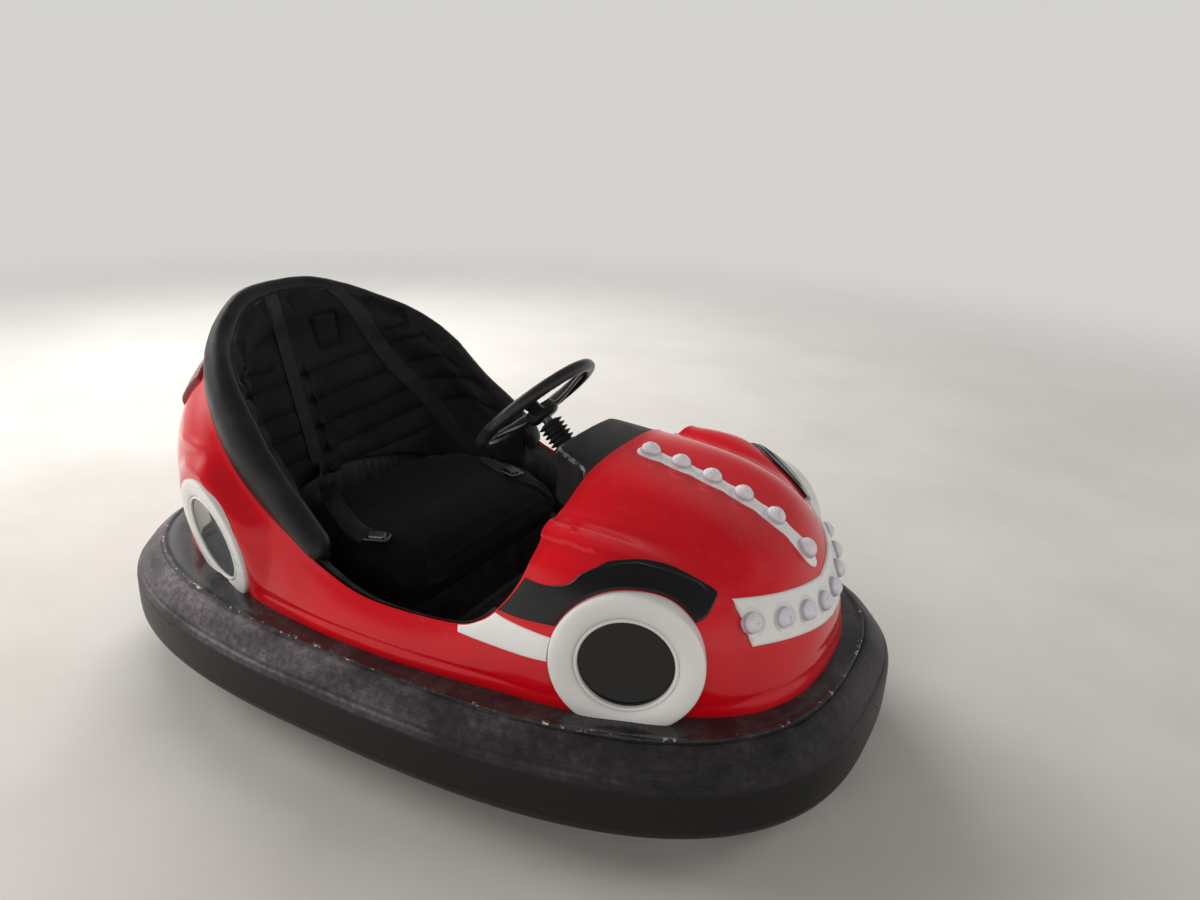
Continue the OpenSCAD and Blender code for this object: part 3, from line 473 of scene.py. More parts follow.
def make_rim_enamel():
    """Black enamel flange with soft brownish clouds, and pale bare flecks along its outer edge."""
    black, dust, bare = (0.016, 0.015, 0.016), (0.105, 0.092, 0.092), (0.62, 0.61, 0.58)
    p = Paint("rim_enamel_finish", black, 0.25, Specular_IOR_Level=0.5)
    fine = p.range(p.noise(70, 5, 0.7), 0.3, 0.7, 0.3, 1)
    cloud = p.times(p.range(p.noise(8, 6, 0.65), 0.38, 0.75), fine)
    # Soft brownish clouds over the black, which also make it rougher
    layer = p.mix(p.times(cloud, 0.75), black, dust)
    fleck = p.times(p.range(p.noise(38, 5, 0.75), 0.56, 0.63), p.attribute("scuff"))
    p.set("Base Color", p.mix(fleck, layer, bare))
    p.set("Roughness", p.range(cloud, 0, 1, 0.18, 0.5))
    p.bump(p.noise(45, 4), 0.0008, 0.5)
    return p


def make_frame_enamel():
    """Grey painted steel with rubbed edges and rust-brown dirt."""
    p = weathered("frame_enamel_finish", (0.065, 0.067, 0.072), (0.13, 0.085, 0.055),
                  (14, 7, 0.7), (0.45, 0.75), (0.38, 0.75), Metallic=0.15)
    return p.bump(p.noise(60, 5), 0.0005, 0.5)


def make_plated():
    """Dull plating with brown stains."""
    p = weathered("plated_steel_finish", (0.36, 0.35, 0.33), (0.16, 0.14, 0.12),
                  (30, 6, 0.7), (0.40, 0.75), (0.22, 0.55), Metallic=1.0)
    return p.bump(p.noise(160, 3), 0.0002, 0.5)


def make_lamp():
    """Frosted cap, milky with a faint violet cast, with painted shade in a ring at its foot and a darker dot
    on top.
    """
    p = Paint("lamp_plastic_finish", (0.70, 0.66, 0.71), 0.24, Coat_Weight=0.5, Coat_Roughness=0.08,
              Subsurface_Weight=0.25, Subsurface_Scale=0.006)
    # The shade attribute holds the painted shade at the foot and the darker dot on top
    tone = p.mix(p.attribute("shade"), (0.76, 0.73, 0.77), (0.36, 0.33, 0.38))
    p.set("Base Color", p.mix(p.range(p.noise(90, 4, 0.6), 0.5, 0.8), tone, (0.55, 0.50, 0.52)))
    p.bump(p.noise(120, 3), 0.0003, 0.4)
    return p


def make_tail():
    """Dark red lens with a painted highlight in white over its upper end."""
    p = Paint("tail_lens_finish", (0.20, 0.006, 0.010), 0.12, Coat_Weight=0.6, Coat_Roughness=0.04)
    # Painted highlight: white over the lens's upper end
    painted_top_highlight = p.range(p.coordinate("Z"), 0.713, 0.719)
    ribbed = p.mix(p.waves(60, "Z"), (0.30, 0.008, 0.014), (0.13, 0.004, 0.008))
    p.set("Base Color", p.mix(painted_top_highlight, ribbed, (0.72, 0.70, 0.68)))
    p.bump(p.waves(60, "Z"), 0.0006, 0.5)
    return p


def make_vinyl():
    """Black vinyl over foam: fine grain, a soft sheen and faint wrinkles."""
    p = weathered("roll_vinyl_finish", (0.008, 0.008, 0.009), (0.020, 0.020, 0.022),
                  (10, 6, 0.7, (1, 1, 1.6)), (0.42, 0.78), (0.36, 0.52), Specular_IOR_Level=0.45)
    p.bump(p.cells(420), 0.0003, 0.25)
    return p.bump(p.noise(9, 3, 0.5, (1, 1, 2)), 0.0012, 0.3)


def make_fabric(name, shade):
    """Black coated cloth of the seat, with a fine weave, a dusty bloom and painted shade along its seams."""
    deep, dusty, seam_shade = ((shade * k, shade * k, shade * k * 1.12) for k in (1.0, 2.1, 0.12))
    p = Paint(name, deep, 0.75, Sheen_Weight=0.03, Sheen_Roughness=0.5, Specular_IOR_Level=0.2)
    cloth = p.mix(p.range(p.noise(7, 7, 0.68), 0.42, 0.8), deep, dusty)
    # Painted shade: the seams are darkened almost to black
    p.set("Base Color", p.mix(p.times(p.attribute("seam"), 0.85), cloth, seam_shade))
    weave = p.times(p.waves(260, "X"), p.waves(260, "Z"))
    p.bump(weave, 0.0004, 0.4)
    p.bump(p.noise(30, 6, 0.65), 0.0022, 0.5)
    return p


def make_webbing():
    """Woven strap with lengthwise ribs and twill across them."""
    p = Paint("webbing_finish", (0.012, 0.012, 0.013), 0.6, Sheen_Weight=0.05, Sheen_Roughness=0.4)
    across = p.math("SINE", p.times(p.attribute("across"), 60.0))
    along = p.math("SINE", p.math("ADD", p.times(p.attribute("along"), 2600.0),
                                  p.times(p.attribute("across"), 30.0)))
    rub = p.range(p.noise(25, 5), 0.45, 0.8)
    p.set("Base Color", p.mix(rub, (0.011, 0.011, 0.012), (0.024, 0.023, 0.025)))
    p.bump(p.math("ADD", across, p.times(along, 0.6)), 0.0004, 0.6)
    return p


def make_wheel_plastic():
    """Moulded black plastic, rubbed by hands."""
    p = weathered("wheel_plastic_finish", (0.014, 0.014, 0.015), (0.040, 0.040, 0.042),
                  (18, 6, 0.7), (0.45, 0.75), (0.28, 0.5))
    return p.bump(p.cells(500), 0.0003, 0.3)


def make_dash():
    """Dashboard pod: matt black gelcoat, rubbed grey along its upper edges."""
    p = Paint("dash_finish", (0.016, 0.015, 0.015), 0.5, Specular_IOR_Level=0.35)
    rub = p.range(p.noise(16, 7, 0.75), 0.45, 0.8)
    edge_rub = p.times(p.attribute("worn"), p.range(p.noise(45, 6, 0.7), 0.42, 0.6))
    layer = p.mix(rub, (0.014, 0.013, 0.013), (0.034, 0.031, 0.030))
    p.set("Base Color", p.mix(p.times(edge_rub, 0.8), layer, (0.26, 0.25, 0.24)))
    p.set("Roughness", p.range(rub, 0, 1, 0.42, 0.65))
    p.bump(p.noise(70, 5), 0.0004, 0.5)
    return p


def make_plain_rubber(name, color, rough):
    """Dark rubber or plastic, a little dusty."""
    dusty = tuple(c * 2.6 + 0.01 for c in color)
    p = weathered(name, color, dusty, (20, 7, 0.7), (0.42, 0.8), (rough * 0.85, min(1.0, rough * 1.3)))
    return p.bump(p.noise(110, 4), 0.0005, 0.5)


def make_mat():
    """Ribbed rubber mat, grey with trodden dust."""
    p = Paint("mat_rubber_finish", (0.018, 0.018, 0.019), 0.7)
    dust = p.range(p.noise(12, 7, 0.7), 0.4, 0.75)
    p.set("Base Color", p.mix(dust, (0.018, 0.018, 0.019), (0.075, 0.070, 0.064)))
    p.bump(p.waves(36, "Y"), 0.0020, 0.8)
    return p


RED = gelcoat("red_gelcoat_finish", (0.66, 0.0020, 0.0095), (0.42, 0.16, 0.15), (0.75, 0.5, 0.45),
              0.14, 0.13)
WHITE = gelcoat("white_gelcoat_finish", (0.84, 0.825, 0.79), (0.50, 0.46, 0.41), (0.3, 0.27, 0.24),
                0.4, 0.2)
GLOSS = gelcoat("black_gelcoat_finish", (0.0045, 0.0042, 0.0045), (0.12, 0.11, 0.10),
                (0.4, 0.38, 0.36), 0.06, 0.08)
SMOKED, RUBBER, RIM = make_smoked(), make_rubber(), make_rim_enamel()
FRAME, PLATED, LAMP, TAIL = make_frame_enamel(), make_plated(), make_lamp(), make_tail()
VINYL, WEBBING = make_vinyl(), make_webbing()
# The backrest and the seat are one cloth, painted as a lit and a shaded copy: the backrest's about three
# times lighter than the seat's
LIT_BACK_CLOTH, SHADED_SEAT_CLOTH = make_fabric("lit_back_cloth_finish", 0.0105), make_fabric("shaded_seat_cloth_finish", 0.0034)
PLASTIC, DASH, MAT = make_wheel_plastic(), make_dash(), make_mat()
BOOT = make_plain_rubber("boot_rubber_finish", (0.014, 0.014, 0.015), 0.5)
TYRE = make_plain_rubber("tyre_rubber_finish", (0.016, 0.016, 0.016), 0.75)
CASE = make_plain_rubber("battery_case_finish", (0.030, 0.032, 0.035), 0.5)
LINER = make_plain_rubber("liner_finish", (0.020, 0.019, 0.019), 0.45)


# Mesh helpers
def outward_mesh(name, verts, faces):
    """Mesh from vertices and faces, with its outside turned out."""
    mesh = bpy.data.meshes.new(name)
    mesh.from_pydata(np.asarray(verts, float).tolist(), [], faces)
    bm = bmesh.new()
    bm.from_mesh(mesh)
    bmesh.ops.recalc_face_normals(bm, faces=bm.faces)
    bm.to_mesh(mesh)
    bm.free()
    return mesh


def set_attribute(mesh, key, numbers):
    data = mesh.attributes.new(key, "FLOAT", "POINT").data
    data.foreach_set("value", np.ravel(numbers).astype(np.float32))


def add_piece(name, verts, faces, paint, slot, body="chassis", sharp=40, values=None):
    """A shown piece from vertices and faces, riding on a body."""
    mesh = outward_mesh(name, verts, faces)
    for key, numbers in (values or {}).items():
        set_attribute(mesh, key, numbers)
    piece = add_object(name, mesh)
    shade(piece, sharp)
    mesh.materials.append(paint.mat)
    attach(piece, body)
    return piece


def shade(piece, sharp):
    piece.data.polygons.foreach_set("use_smooth", [True] * len(piece.data.polygons))
    piece.data.set_sharp_from_angle(angle=math.radians(sharp))


def grid_faces(n, m, wrap_n, wrap_m, start=0):
    """Quads of an n by m grid of vertices, joined end to end where asked."""
    i, j = np.meshgrid(np.arange(n if wrap_n else n - 1), np.arange(m if wrap_m else m - 1), indexing="ij")
    k, q = (i + 1) % n, (j + 1) % m
    return (np.stack([i * m + j, k * m + j, k * m + q, i * m + q], -1).reshape(-1, 4) + start).tolist()


def loft_faces(rings, closed, start=0):
    n, m = rings.shape[:2]
    faces = grid_faces(n, m, closed, True, start)
    if not closed:
        faces += [list(range(start, start + m)), list(range(start + (n - 1) * m, start + n * m))]
    return faces


def loft(name, rings, paint, slot, closed=False, **more):
    """Solid through closed sections, capped or joined end to end."""
    rings = np.asarray(rings, float)
    return add_piece(name, rings.reshape(-1, 3), loft_faces(rings, closed), paint, slot, **more)


def lofts(name, many, paint, slot, closed=False, **more):
    """Several lofts as one piece."""
    verts, faces = [], []
    start = 0
    for rings in many:
        rings = np.asarray(rings, float)
        verts.append(rings.reshape(-1, 3))
        faces += loft_faces(rings, closed, start)
        start += len(verts[-1])
    return add_piece(name, np.vstack(verts), faces, paint, slot, **more)


def turned(profile, steps, place=None):
    """Rings of a closed profile of [radius, height] points, turned about Z and then placed."""
    profile = np.asarray(profile, float)
    a = circle(steps)[:, None]
    rings = np.stack([profile[:, 0] * np.cos(a), profile[:, 0] * np.sin(a),
                      np.broadcast_to(profile[:, 1], (steps, len(profile)))], -1)
    return put(rings, place) if place is not None else rings


def put(points, place):
    """Points moved by a 4 by 4 matrix."""
    m = np.array(place)
    return points @ m[:3, :3].T + m[:3, 3]


def mirrored(points):
    return np.asarray(points) * [1, -1, 1]


def frame_on(point, normal, forward=(1, 0, 0)):
    """Matrix that takes +Z to a normal at a point, and +X near a forward direction."""
    n = Vector(normal).normalized()
    y = n.cross(Vector(forward)).normalized()
    x = y.cross(n)
    m = Matrix.Identity(4)
    for row in range(3):
        m[row] = (x[row], y[row], n[row], point[row])
    return m


def rounded(x, width):
    """Height from 0 to 1 of a rounded border at a distance x from it."""
    x = np.clip(x / width, 0, 1)
    return np.sqrt(np.maximum(0, 1 - (1 - x) ** 2))


def eased(n):
    """Numbers from 0 to 1, closer together near the ends."""
    return (1 - np.cos(np.pi * np.linspace(0, 1, n))) / 2


def boolean(piece, cutter):
    """Cuts a closed piece with another closed mesh, which is then removed."""
    modifier = piece.modifiers.new("cut", "BOOLEAN")
    modifier.operation = "DIFFERENCE"
    modifier.solver = "MANIFOLD"
    modifier.object = cutter
    apply_modifiers(piece)
    bpy.data.objects.remove(cutter)


def apply_modifiers(piece):
    bpy.context.view_layer.update()
    result = bpy.data.meshes.new_from_object(piece.evaluated_get(bpy.context.evaluated_depsgraph_get()))
    piece.modifiers.clear()
    piece.data = result


def raw_mesh(rings):
    """Closed mesh from turned rings, whose first and last profile points lie on the axis."""
    n, m = rings.shape[:2]
    verts = [rings[0, 0]] + [p for ring in rings for p in ring[1:-1]] + [rings[0, -1]]
    k = m - 2
    faces = []
    for i in range(n):
        j = (i + 1) % n
        a, b = 1 + i * k, 1 + j * k
        faces.append([0, b, a])
        faces += [[a + q, b + q, b + q + 1, a + q + 1] for q in range(k - 1)]
        faces.append([a + k - 1, b + k - 1, len(verts) - 1])
    return add_object("cutter", outward_mesh("cutter", verts, faces))


# Heights of a round cut's ends over its trim's plane
CUT_LOW, CUT_HIGH = -0.07, 0.12


def cut_round(piece, radius, place, steps):
    """Cuts a round hole through a piece along a trim's axis."""
    profile = [[0, CUT_LOW], [radius, CUT_LOW], [radius, CUT_HIGH], [0, CUT_HIGH]]
    boolean(piece, raw_mesh(turned(profile, steps, place)))


# Right-hand wheel trims in front and behind: centre, swing and tilt in degrees. Their matrices
# have +Z along the outward axis
TRIM_SPOTS = {True: ((LENGTH / 2 - 0.391, 0.192 - WIDTH / 2, 0.388), 20.5, 0),
              False: ((0.488 - LENGTH / 2, 0.158 - WIDTH / 2, 0.378), -18, 10)}


def trim_place(front, side):
    """Matrix of a trim, with side 1 on the left and -1 on the right."""
    at, swing, tilt = TRIM_SPOTS[front]
    m = Matrix.Translation(at) @ turn(swing, "Z") @ turn(90 + tilt, "X")
    return Matrix.Diagonal((1, -side, 1, 1)) @ m


def trim_distance(points, front=True):
    """Distance of points from the right-hand trim's axis."""
    m = np.array(trim_place(front, -1))
    local = (points - m[:3, 3]) @ m[:3, :3]
    return np.linalg.norm(local[..., :2], axis=-1)


# Beads and grooves of the shell on its right side: a line of points, height, spread, then the
# share of the line over which each end fades
BEADS = [
    ([(-0.655, -0.367, 0.571), (-0.539, -0.415, 0.583), (-0.477, -0.427, 0.574)],
     0.0042, 0.010, (0.3, 0.3)),
    ([(-0.655, -0.374, 0.550), (-0.539, -0.424, 0.562), (-0.477, -0.436, 0.553)],
     -0.0022, 0.015, (0.3, 0.3)),
    ([(-0.373, -0.460, 0.488), (-0.361, -0.473, 0.432), (-0.342, -0.473, 0.375), (-0.326, -0.471, 0.317)],
     -0.0085, 0.017, (0.3, 0.3)),
    ([(0.758, -0.285, 0.343), (0.778, -0.254, 0.343), (0.796, -0.225, 0.343)], 0.0018, 0.0045, (0.1, 0.1)),
    ([(0.838, -0.133, 0.331), (0.852, -0.066, 0.328), (0.855, 0.0, 0.325)], -0.0025, 0.006, (0.3, 0.0)),
]
# Folds: a line of points, the drop outside it, the width of the drop, how far out it fills up
# again, and the two fades
FOLDS = [
    ([(0.250, -0.293, 0.591), (0.350, -0.280, 0.591), (0.432, -0.269, 0.591), (0.514, -0.257, 0.585),
      (0.592, -0.235, 0.575), (0.665, -0.211, 0.556), (0.709, -0.186, 0.540), (0.740, -0.172, 0.519),
      (0.786, -0.129, 0.478)], 0.0045, 0.006, 0.055, (0, 0.3)),
    ([(0.290, -0.366, 0.582), (0.375, -0.370, 0.586), (0.425, -0.372, 0.588), (0.476, -0.372, 0.584),
      (0.519, -0.353, 0.580), (0.559, -0.327, 0.570)], 0.0080, 0.007, 0.060, (0, 0.3)),
]
# Height and depth of the line round the shell's foot
FOOT_LINE, FOOT_STEP = 0.029, 0.0016
LAMP_BAND_HALF = 0.262


def ends_fade(along, fade_in, fade_out):
    """Strength from 0 to 1 along a line that fades over a share of it at each end."""
    start = smooth_step(along / fade_in) if fade_in else 1.0
    return start * (smooth_step((1 - along) / fade_out) if fade_out else 1.0)


def relief(points):
    """Height of the shell's relief over its plain skin."""
    right = points.copy()
    right[..., 1] = -np.abs(right[..., 1])
    out = np.zeros(points.shape[:-1])
    for line, height, spread, fades in BEADS:
        d, along = line_distance(right, line)
        out += height * bell(d, spread) * ends_fade(along, *fades)
    for line, depth, edge_w, reach, fades in FOLDS:
        d, along = line_distance(right, line)
        line = np.array(line)
        run = run_along(line)
        y, z = (np.interp(along, run / run[-1], line[:, k]) for k in (1, 2))
        outside = (y - right[..., 1] + z - right[..., 2]) * math.sqrt(0.5)
        shape = smooth_step(outside / edge_w) * (1 - smooth_step((outside - edge_w) / reach))
        out -= depth * shape * ends_fade(along, *fades) * (d < 2 * reach)
    rise = points[..., 2] - FOOT
    out -= FOOT_STEP * bell(rise - FOOT_LINE, 0.006)
    out += FOOT_STEP * smooth_step((FOOT_LINE - rise) / 0.02)
    return out


NOSE_BAND = ((0.0, 0.104, 0.190), (LAMP_BAND_HALF, 0.134, 0.223))


def band_edges(y):
    """Heights over the flange of the nose band's lower and upper edges."""
    rows = np.array(NOSE_BAND)
    return [np.interp(np.abs(y), rows[:, 0], rows[:, k]) for k in (1, 2)]


def under_band(points):
    """How far the shell is pushed in behind the nose band's pockets, from 0 to 1."""
    low_edge, high_edge = band_edges(points[..., 1])
    rise = points[..., 2] - FOOT
    inside = np.minimum(rise - low_edge, high_edge - rise)
    inside = np.minimum(inside, LAMP_BAND_HALF - np.abs(points[..., 1]))
    return smooth_step((inside - 0.004) / 0.012) * (points[..., 0] > 0.5)


TRIM_SEAT = -0.001


def seat_trims(points, edge_run):
    """Points of the shell, moved round the rear trims to lie flush with their rings."""
    flip = np.where(points[..., 1:2] > 0, -1.0, 1.0) * [0, 1, 0] + [1, 0, 1]
    m = np.array(trim_place(False, -1))
    local = (points * flip - m[:3, 3]) @ m[:3, :3]
    lack = np.clip(TRIM_SEAT - local[..., 2], -0.016, 0.030)
    near = 1 - smooth_step((np.linalg.norm(local[..., :2], axis=-1) - TRIM_R - 0.004) / 0.055)
    near *= smooth_step((edge_run - 0.010) / 0.034) * (np.abs(local[..., 2]) < 0.12)
    return points + m[:3, 2] * (lack * near)[..., None] * flip


# Stations round the shell, and rows up its outside and down its inside
SHELL_STATIONS, OUTER_ROWS, INNER_ROWS = 620, 118, 20
# Height and width of the bead along the opening's edge
EDGE_BEAD, EDGE_BEAD_W = 0.0022, 0.010
# How far the shell lies back behind the nose band
BAND_HOLLOW = 0.010


def make_shell():
    """Moulded shell with its relief, closer rows in its upper half, and a round cut at each trim."""
    angles = even_angles(SHELL_STATIONS)
    fine = np.linspace(0, 1, 2001)
    rows = np.cumsum(np.where(fine > 0.5, 1.8, 1.0))
    outer_u = np.interp(np.linspace(0, 1, OUTER_ROWS), (rows - rows[0]) / (rows[-1] - rows[0]), fine)
    plain = skin(angles[:, None], outer_u[None])
    normal = skin_normal(angles[:, None], outer_u[None])
    lift = relief(plain) - BAND_HOLLOW * under_band(plain)
    edge_run = np.linalg.norm(plain - plain[:, -1:], axis=-1)
    lift += EDGE_BEAD * bell(edge_run, EDGE_BEAD_W)
    outer = seat_trims(plain + normal * lift[..., None], edge_run)
    outer[:, 0, 2] = FOOT
    pick = np.linspace(OUTER_ROWS - 1, 0, INNER_ROWS).astype(int)
    inner = (outer - normal * SHELL_T)[:, pick]
    inner[:, -1, 2] = FOOT
    rings = np.concatenate([outer, inner], axis=1)
    shell = loft("shell", rings, RED, "red_gelcoat", closed=True)
    for front in (True, False):
        for side in (1, -1):
            cut_round(shell, TRIM_R + GAP, trim_place(front, side), 128)
    shade(shell, 38)
    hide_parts("body_shell")
    return shell


# Trims: a moulded ring, and a rolled lip round its disc
LIP_W = 0.008
LIP_RISE = 0.004
TRIM_DEPTH = 0.034
# Disc's radius, dome's height and disc's height over its plane, in front and behind
TRIM_FORMS = {True: (DISC_R, 0.011, 0.0), False: (0.099, 0.0065, 0.004)}


def trim_profile(disc_r, dome):
    mid, half = (disc_r + LIP_W + TRIM_R) / 2, (TRIM_R - disc_r - LIP_W) / 2
    a = np.radians(np.arange(180, -1, -15))
    lip = [[disc_r + LIP_W / 2 * (1 + math.cos(v)), LIP_RISE + LIP_W / 2 * math.sin(v)] for v in a]
    a = np.radians(np.linspace(172, 0, 44))
    r = mid + half * np.cos(a)
    z = LIP_RISE + dome * np.sin(a) ** 0.8
    return [[disc_r, -TRIM_DEPTH]] + lip + np.stack([r, z], -1).tolist() + [[TRIM_R, -TRIM_DEPTH]]


def cut_below(piece, z):
    """Cuts a piece off flat at a height and closes it."""
    bm = bmesh.new()
    bm.from_mesh(piece.data)
    bmesh.ops.bisect_plane(bm, geom=bm.verts[:] + bm.edges[:] + bm.faces[:], plane_co=(0, 0, z),
                           plane_no=(0, 0, 1), clear_inner=True)
    bmesh.ops.holes_fill(bm, edges=[e for e in bm.edges if e.is_boundary])
    bm.to_mesh(piece.data)
    bm.free()
    shade(piece, 40)


def make_trims():
    for front, name in ((True, "front"), (False, "rear")):
        places = [trim_place(front, side) for side in (1, -1)]
        disc_r, dome, up = TRIM_FORMS[front]
        ring = lofts(f"{name}_trim_rings", [turned(trim_profile(disc_r, dome), 160, m) for m in places],
                     WHITE, "white_gelcoat", closed=True)
        cut_below(ring, FOOT)
        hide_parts(f"{name}_trims")
        r = disc_r - GAP
        bowl = [[0.001, up - 0.006], [r, up - 0.006], [r, up - 0.001], [r - 0.002, up],
                [r * 0.9, up - 0.0012], [r * 0.6, up - 0.0026], [r * 0.3, up - 0.0034], [0.001, up - 0.0036]]
        disc = lofts(f"{name}_trim_discs", [turned(bowl, 128, m) for m in places],
                     GLOSS if front else SMOKED, "smoked_plastic", closed=True)
        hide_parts(f"{name}_discs")


# Mouldings that follow the skin
ARCH = [(69, 165, 170), (66, 172, 210), (62, 180, 232), (58, 182, 243), (54, 182, 258), (50, 182, 278),
        (46, 182, 293), (42, 182, 303), (38, 200, 301), (34, 208, 293), (31, 220, 279), (27, 236, 238)]
STRIPE = [(79, 97, 108), (72, 99, 155), (60, 112, 155)]
# Angles at which each one ends
ARCH_T, STRIPE_T, TAIL_T = (69, 27.3), (79, 60), (160, 149)
# Highest share up the skin that is searched, and the shares between which a tail lamp lies
SHELL_TOP = 0.985
TAIL_U = (0.66, 0.90)


def table_heights(table, t):
    """Lower and upper edge over the flange at angles t, from rows of angle, low and high in mm."""
    rows = spline(sorted(table), 6)
    return [np.interp(np.abs(t), rows[:, 0], rows[:, k] / 1000) for k in (1, 2)]


def shares_between(t, heights):
    """Shares up the ribs at angles t of heights over the flange."""
    return [share_at(t, 2, FOOT + height, SHELL_TOP) for height in heights]


def above_trim(t, low_u, high_u, radius):
    """Lower shares raised to where the ribs leave the front trim's circle."""
    out = low_u.copy()
    for k, angle in enumerate(t):
        u = np.linspace(low_u[k], high_u[k], 240)
        inside = np.nonzero(trim_distance(skin(angle, u)) < radius)[0]
        if len(inside):
            out[k] = u[min(inside[-1] + 1, len(u) - 1)]
    return out


def skin_pad(t, low_u, high_u, thick, border, across=22, sunk=0.003, extra=None):
    """Rings of a rounded pad on the skin, from angles and lower and upper shares."""
    b = eased(across)
    u = low_u[:, None] + (high_u - low_u)[:, None] * b[None]
    base = skin(t[:, None], u)
    run_up = np.linalg.norm(base[:, -1] - base[:, 0], axis=-1)[:, None]
    from_side = np.minimum(b, 1 - b)[None] * run_up
    middle = base[:, across // 2]
    steps = run_along(middle)[:, None]
    from_end = np.minimum(steps, steps[-1] - steps)
    lift = relief(base) + thick * rounded(from_side, border) * rounded(from_end, border)
    if extra is not None:
        lift = lift + extra(base)
    normal = skin_normal(t[:, None], u)
    top = base + normal * lift[..., None]
    under = base - normal * sunk
    return np.concatenate([top, under[:, ::-1][:, [0, across // 2, -1]]], axis=1)


ARCH_LINE = [(0.511, -0.396, 0.562), (0.529, -0.381, 0.568), (0.559, -0.355, 0.566), (0.605, -0.325, 0.550),
             (0.655, -0.295, 0.527), (0.678, -0.289, 0.511)]


def make_arch():
    """Gloss black mouldings over the front trims, each with a raised line near its upper end."""
    t = -np.linspace(*ARCH_T, 150)
    low_u, high_u = shares_between(t, table_heights(ARCH, t))
    low_u = np.minimum(above_trim(t, low_u, high_u, TRIM_R + 0.0015), high_u - 0.02)

    def raised_line(base):
        d, along = line_distance(base, ARCH_LINE)
        return 0.0024 * bell(d, 0.0035) * ends_fade(along, 0.1, 0.1)

    rings = skin_pad(t, low_u, high_u, 0.0065, 0.006, across=46, extra=raised_line)
    arch = lofts("arch_mouldings", [rings, mirrored(rings)], GLOSS, "black_gelcoat")
    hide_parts("arch_bands")


def make_stripe():
    """White flashes behind the front trims."""
    t = -np.linspace(*STRIPE_T, 60)
    low_u, high_u = shares_between(t, table_heights(STRIPE, t))
    rings = skin_pad(t, low_u, high_u, 0.0030, 0.004, across=18)
    stripe = lofts("side_flashes", [rings, mirrored(rings)], WHITE, "white_gelcoat")
    for side in (1, -1):
        cut_round(stripe, TRIM_R + 2 * GAP, trim_place(True, side), 96)
    shade(stripe, 40)
    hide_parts("side_stripes")


# Lamps
STRIP_COUNT = 6
STRIP_FIRST, STRIP_PITCH = 0.063, 0.073
NOSE_COUNT = 8
NOSE_PITCH = 0.072
STRIP_RISE, BAND_RISE = 0.005, 0.006
LAMP_STEPS = 44


def lamp_profile(r):
    """Frosted cap with stepped rings."""
    a = np.radians(np.linspace(4, 88, 26))
    radius = r * 0.96 * np.cos(a)
    rise = r * 0.10 + r * 0.84 * np.sin(a)
    rise += 0.0005 * np.cos(radius / r * 24)
    cap = np.stack([radius, rise], -1).tolist()
    return [[0.0008, -0.004], [r, -0.004], [r, r * 0.07], [r * 0.97, r * 0.10]] + cap + [[0.0008, rise[-1]]]


def foot_shade_and_dot(profile):
    """Darkness of the cap at each profile point: a ring of painted shade near its foot and a darker dot on
    top.
    """
    r = np.array(profile)[:, 0]
    return 0.8 * bell(r - r.max() * 0.95, 0.0012) + 0.7 * bell(r, 0.0022)


def make_lamps(name, places, node, radius):
    profile = lamp_profile(radius)
    rings = [turned(profile, LAMP_STEPS, m) for m in places]
    shades = np.tile(foot_shade_and_dot(profile), LAMP_STEPS * len(places))
    lamps = lofts(name, rings, LAMP, "lamp_plastic", closed=True, values={"shade": shades}, sharp=50)
    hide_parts(node)


def lamp_strip(shell):
    """White strip along the bonnet's ridge, widened round each lamp."""
    tree = surface_tree(shell)
    xs = COWL_X + STRIP_FIRST + STRIP_PITCH * np.arange(STRIP_COUNT)
    x = np.linspace(xs[0] - 0.030, xs[-1] + 0.028, 150)
    u = share_at(np.zeros(len(x)), 0, x)
    normal = skin_normal(np.zeros(len(x)), u)
    nearest = np.min(np.abs(x[:, None] - xs[None]), axis=1)
    half = 0.0200 + 0.0038 * np.sqrt(np.maximum(0, 1 - (nearest / 0.030) ** 2))
    from_end = np.minimum(x - x[0], x[-1] - x)
    half = half * np.maximum(rounded(from_end, 0.022), 0.12)
    across = np.linspace(-1, 1, 17)
    y = half[:, None] * across[None]
    ends = np.maximum(rounded(from_end, 0.006), 0.2)
    lift = STRIP_RISE * (1 - 0.6 * np.abs(across) ** 5)[None] * ends[:, None]
    laid = [[tree.ray_cast((a, b, 1), (0, 0, -1))[0] for b in row] for a, row in zip(x, y)]
    top = np.array(laid) + normal[:, None] * lift[..., None]
    under = top[:, ::-1] - normal[:, None] * 0.009
    strip = loft("ridge_strip", np.concatenate([top, under], axis=1), WHITE, "white_gelcoat")
    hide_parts("lamp_strip")
    lamp_u = share_at(np.zeros(STRIP_COUNT), 0, xs)
    zero = np.zeros(STRIP_COUNT)
    spots = off_skin(zero, lamp_u, np.full(STRIP_COUNT, STRIP_RISE - 0.0008))
    make_lamps("ridge_lamps", [frame_on(p, n) for p, n in zip(spots, skin_normal(zero, lamp_u))],
               "strip_lamps", DOME_R + 0.0018)


POCKET_DEPTH = 0.0030


def nose_angle(y):
    return np.sign(y) * np.degrees(np.arcsin((np.abs(y) / (WIDTH / 2 - SHELL_IN)) ** (PLAN_POWER / 2)))


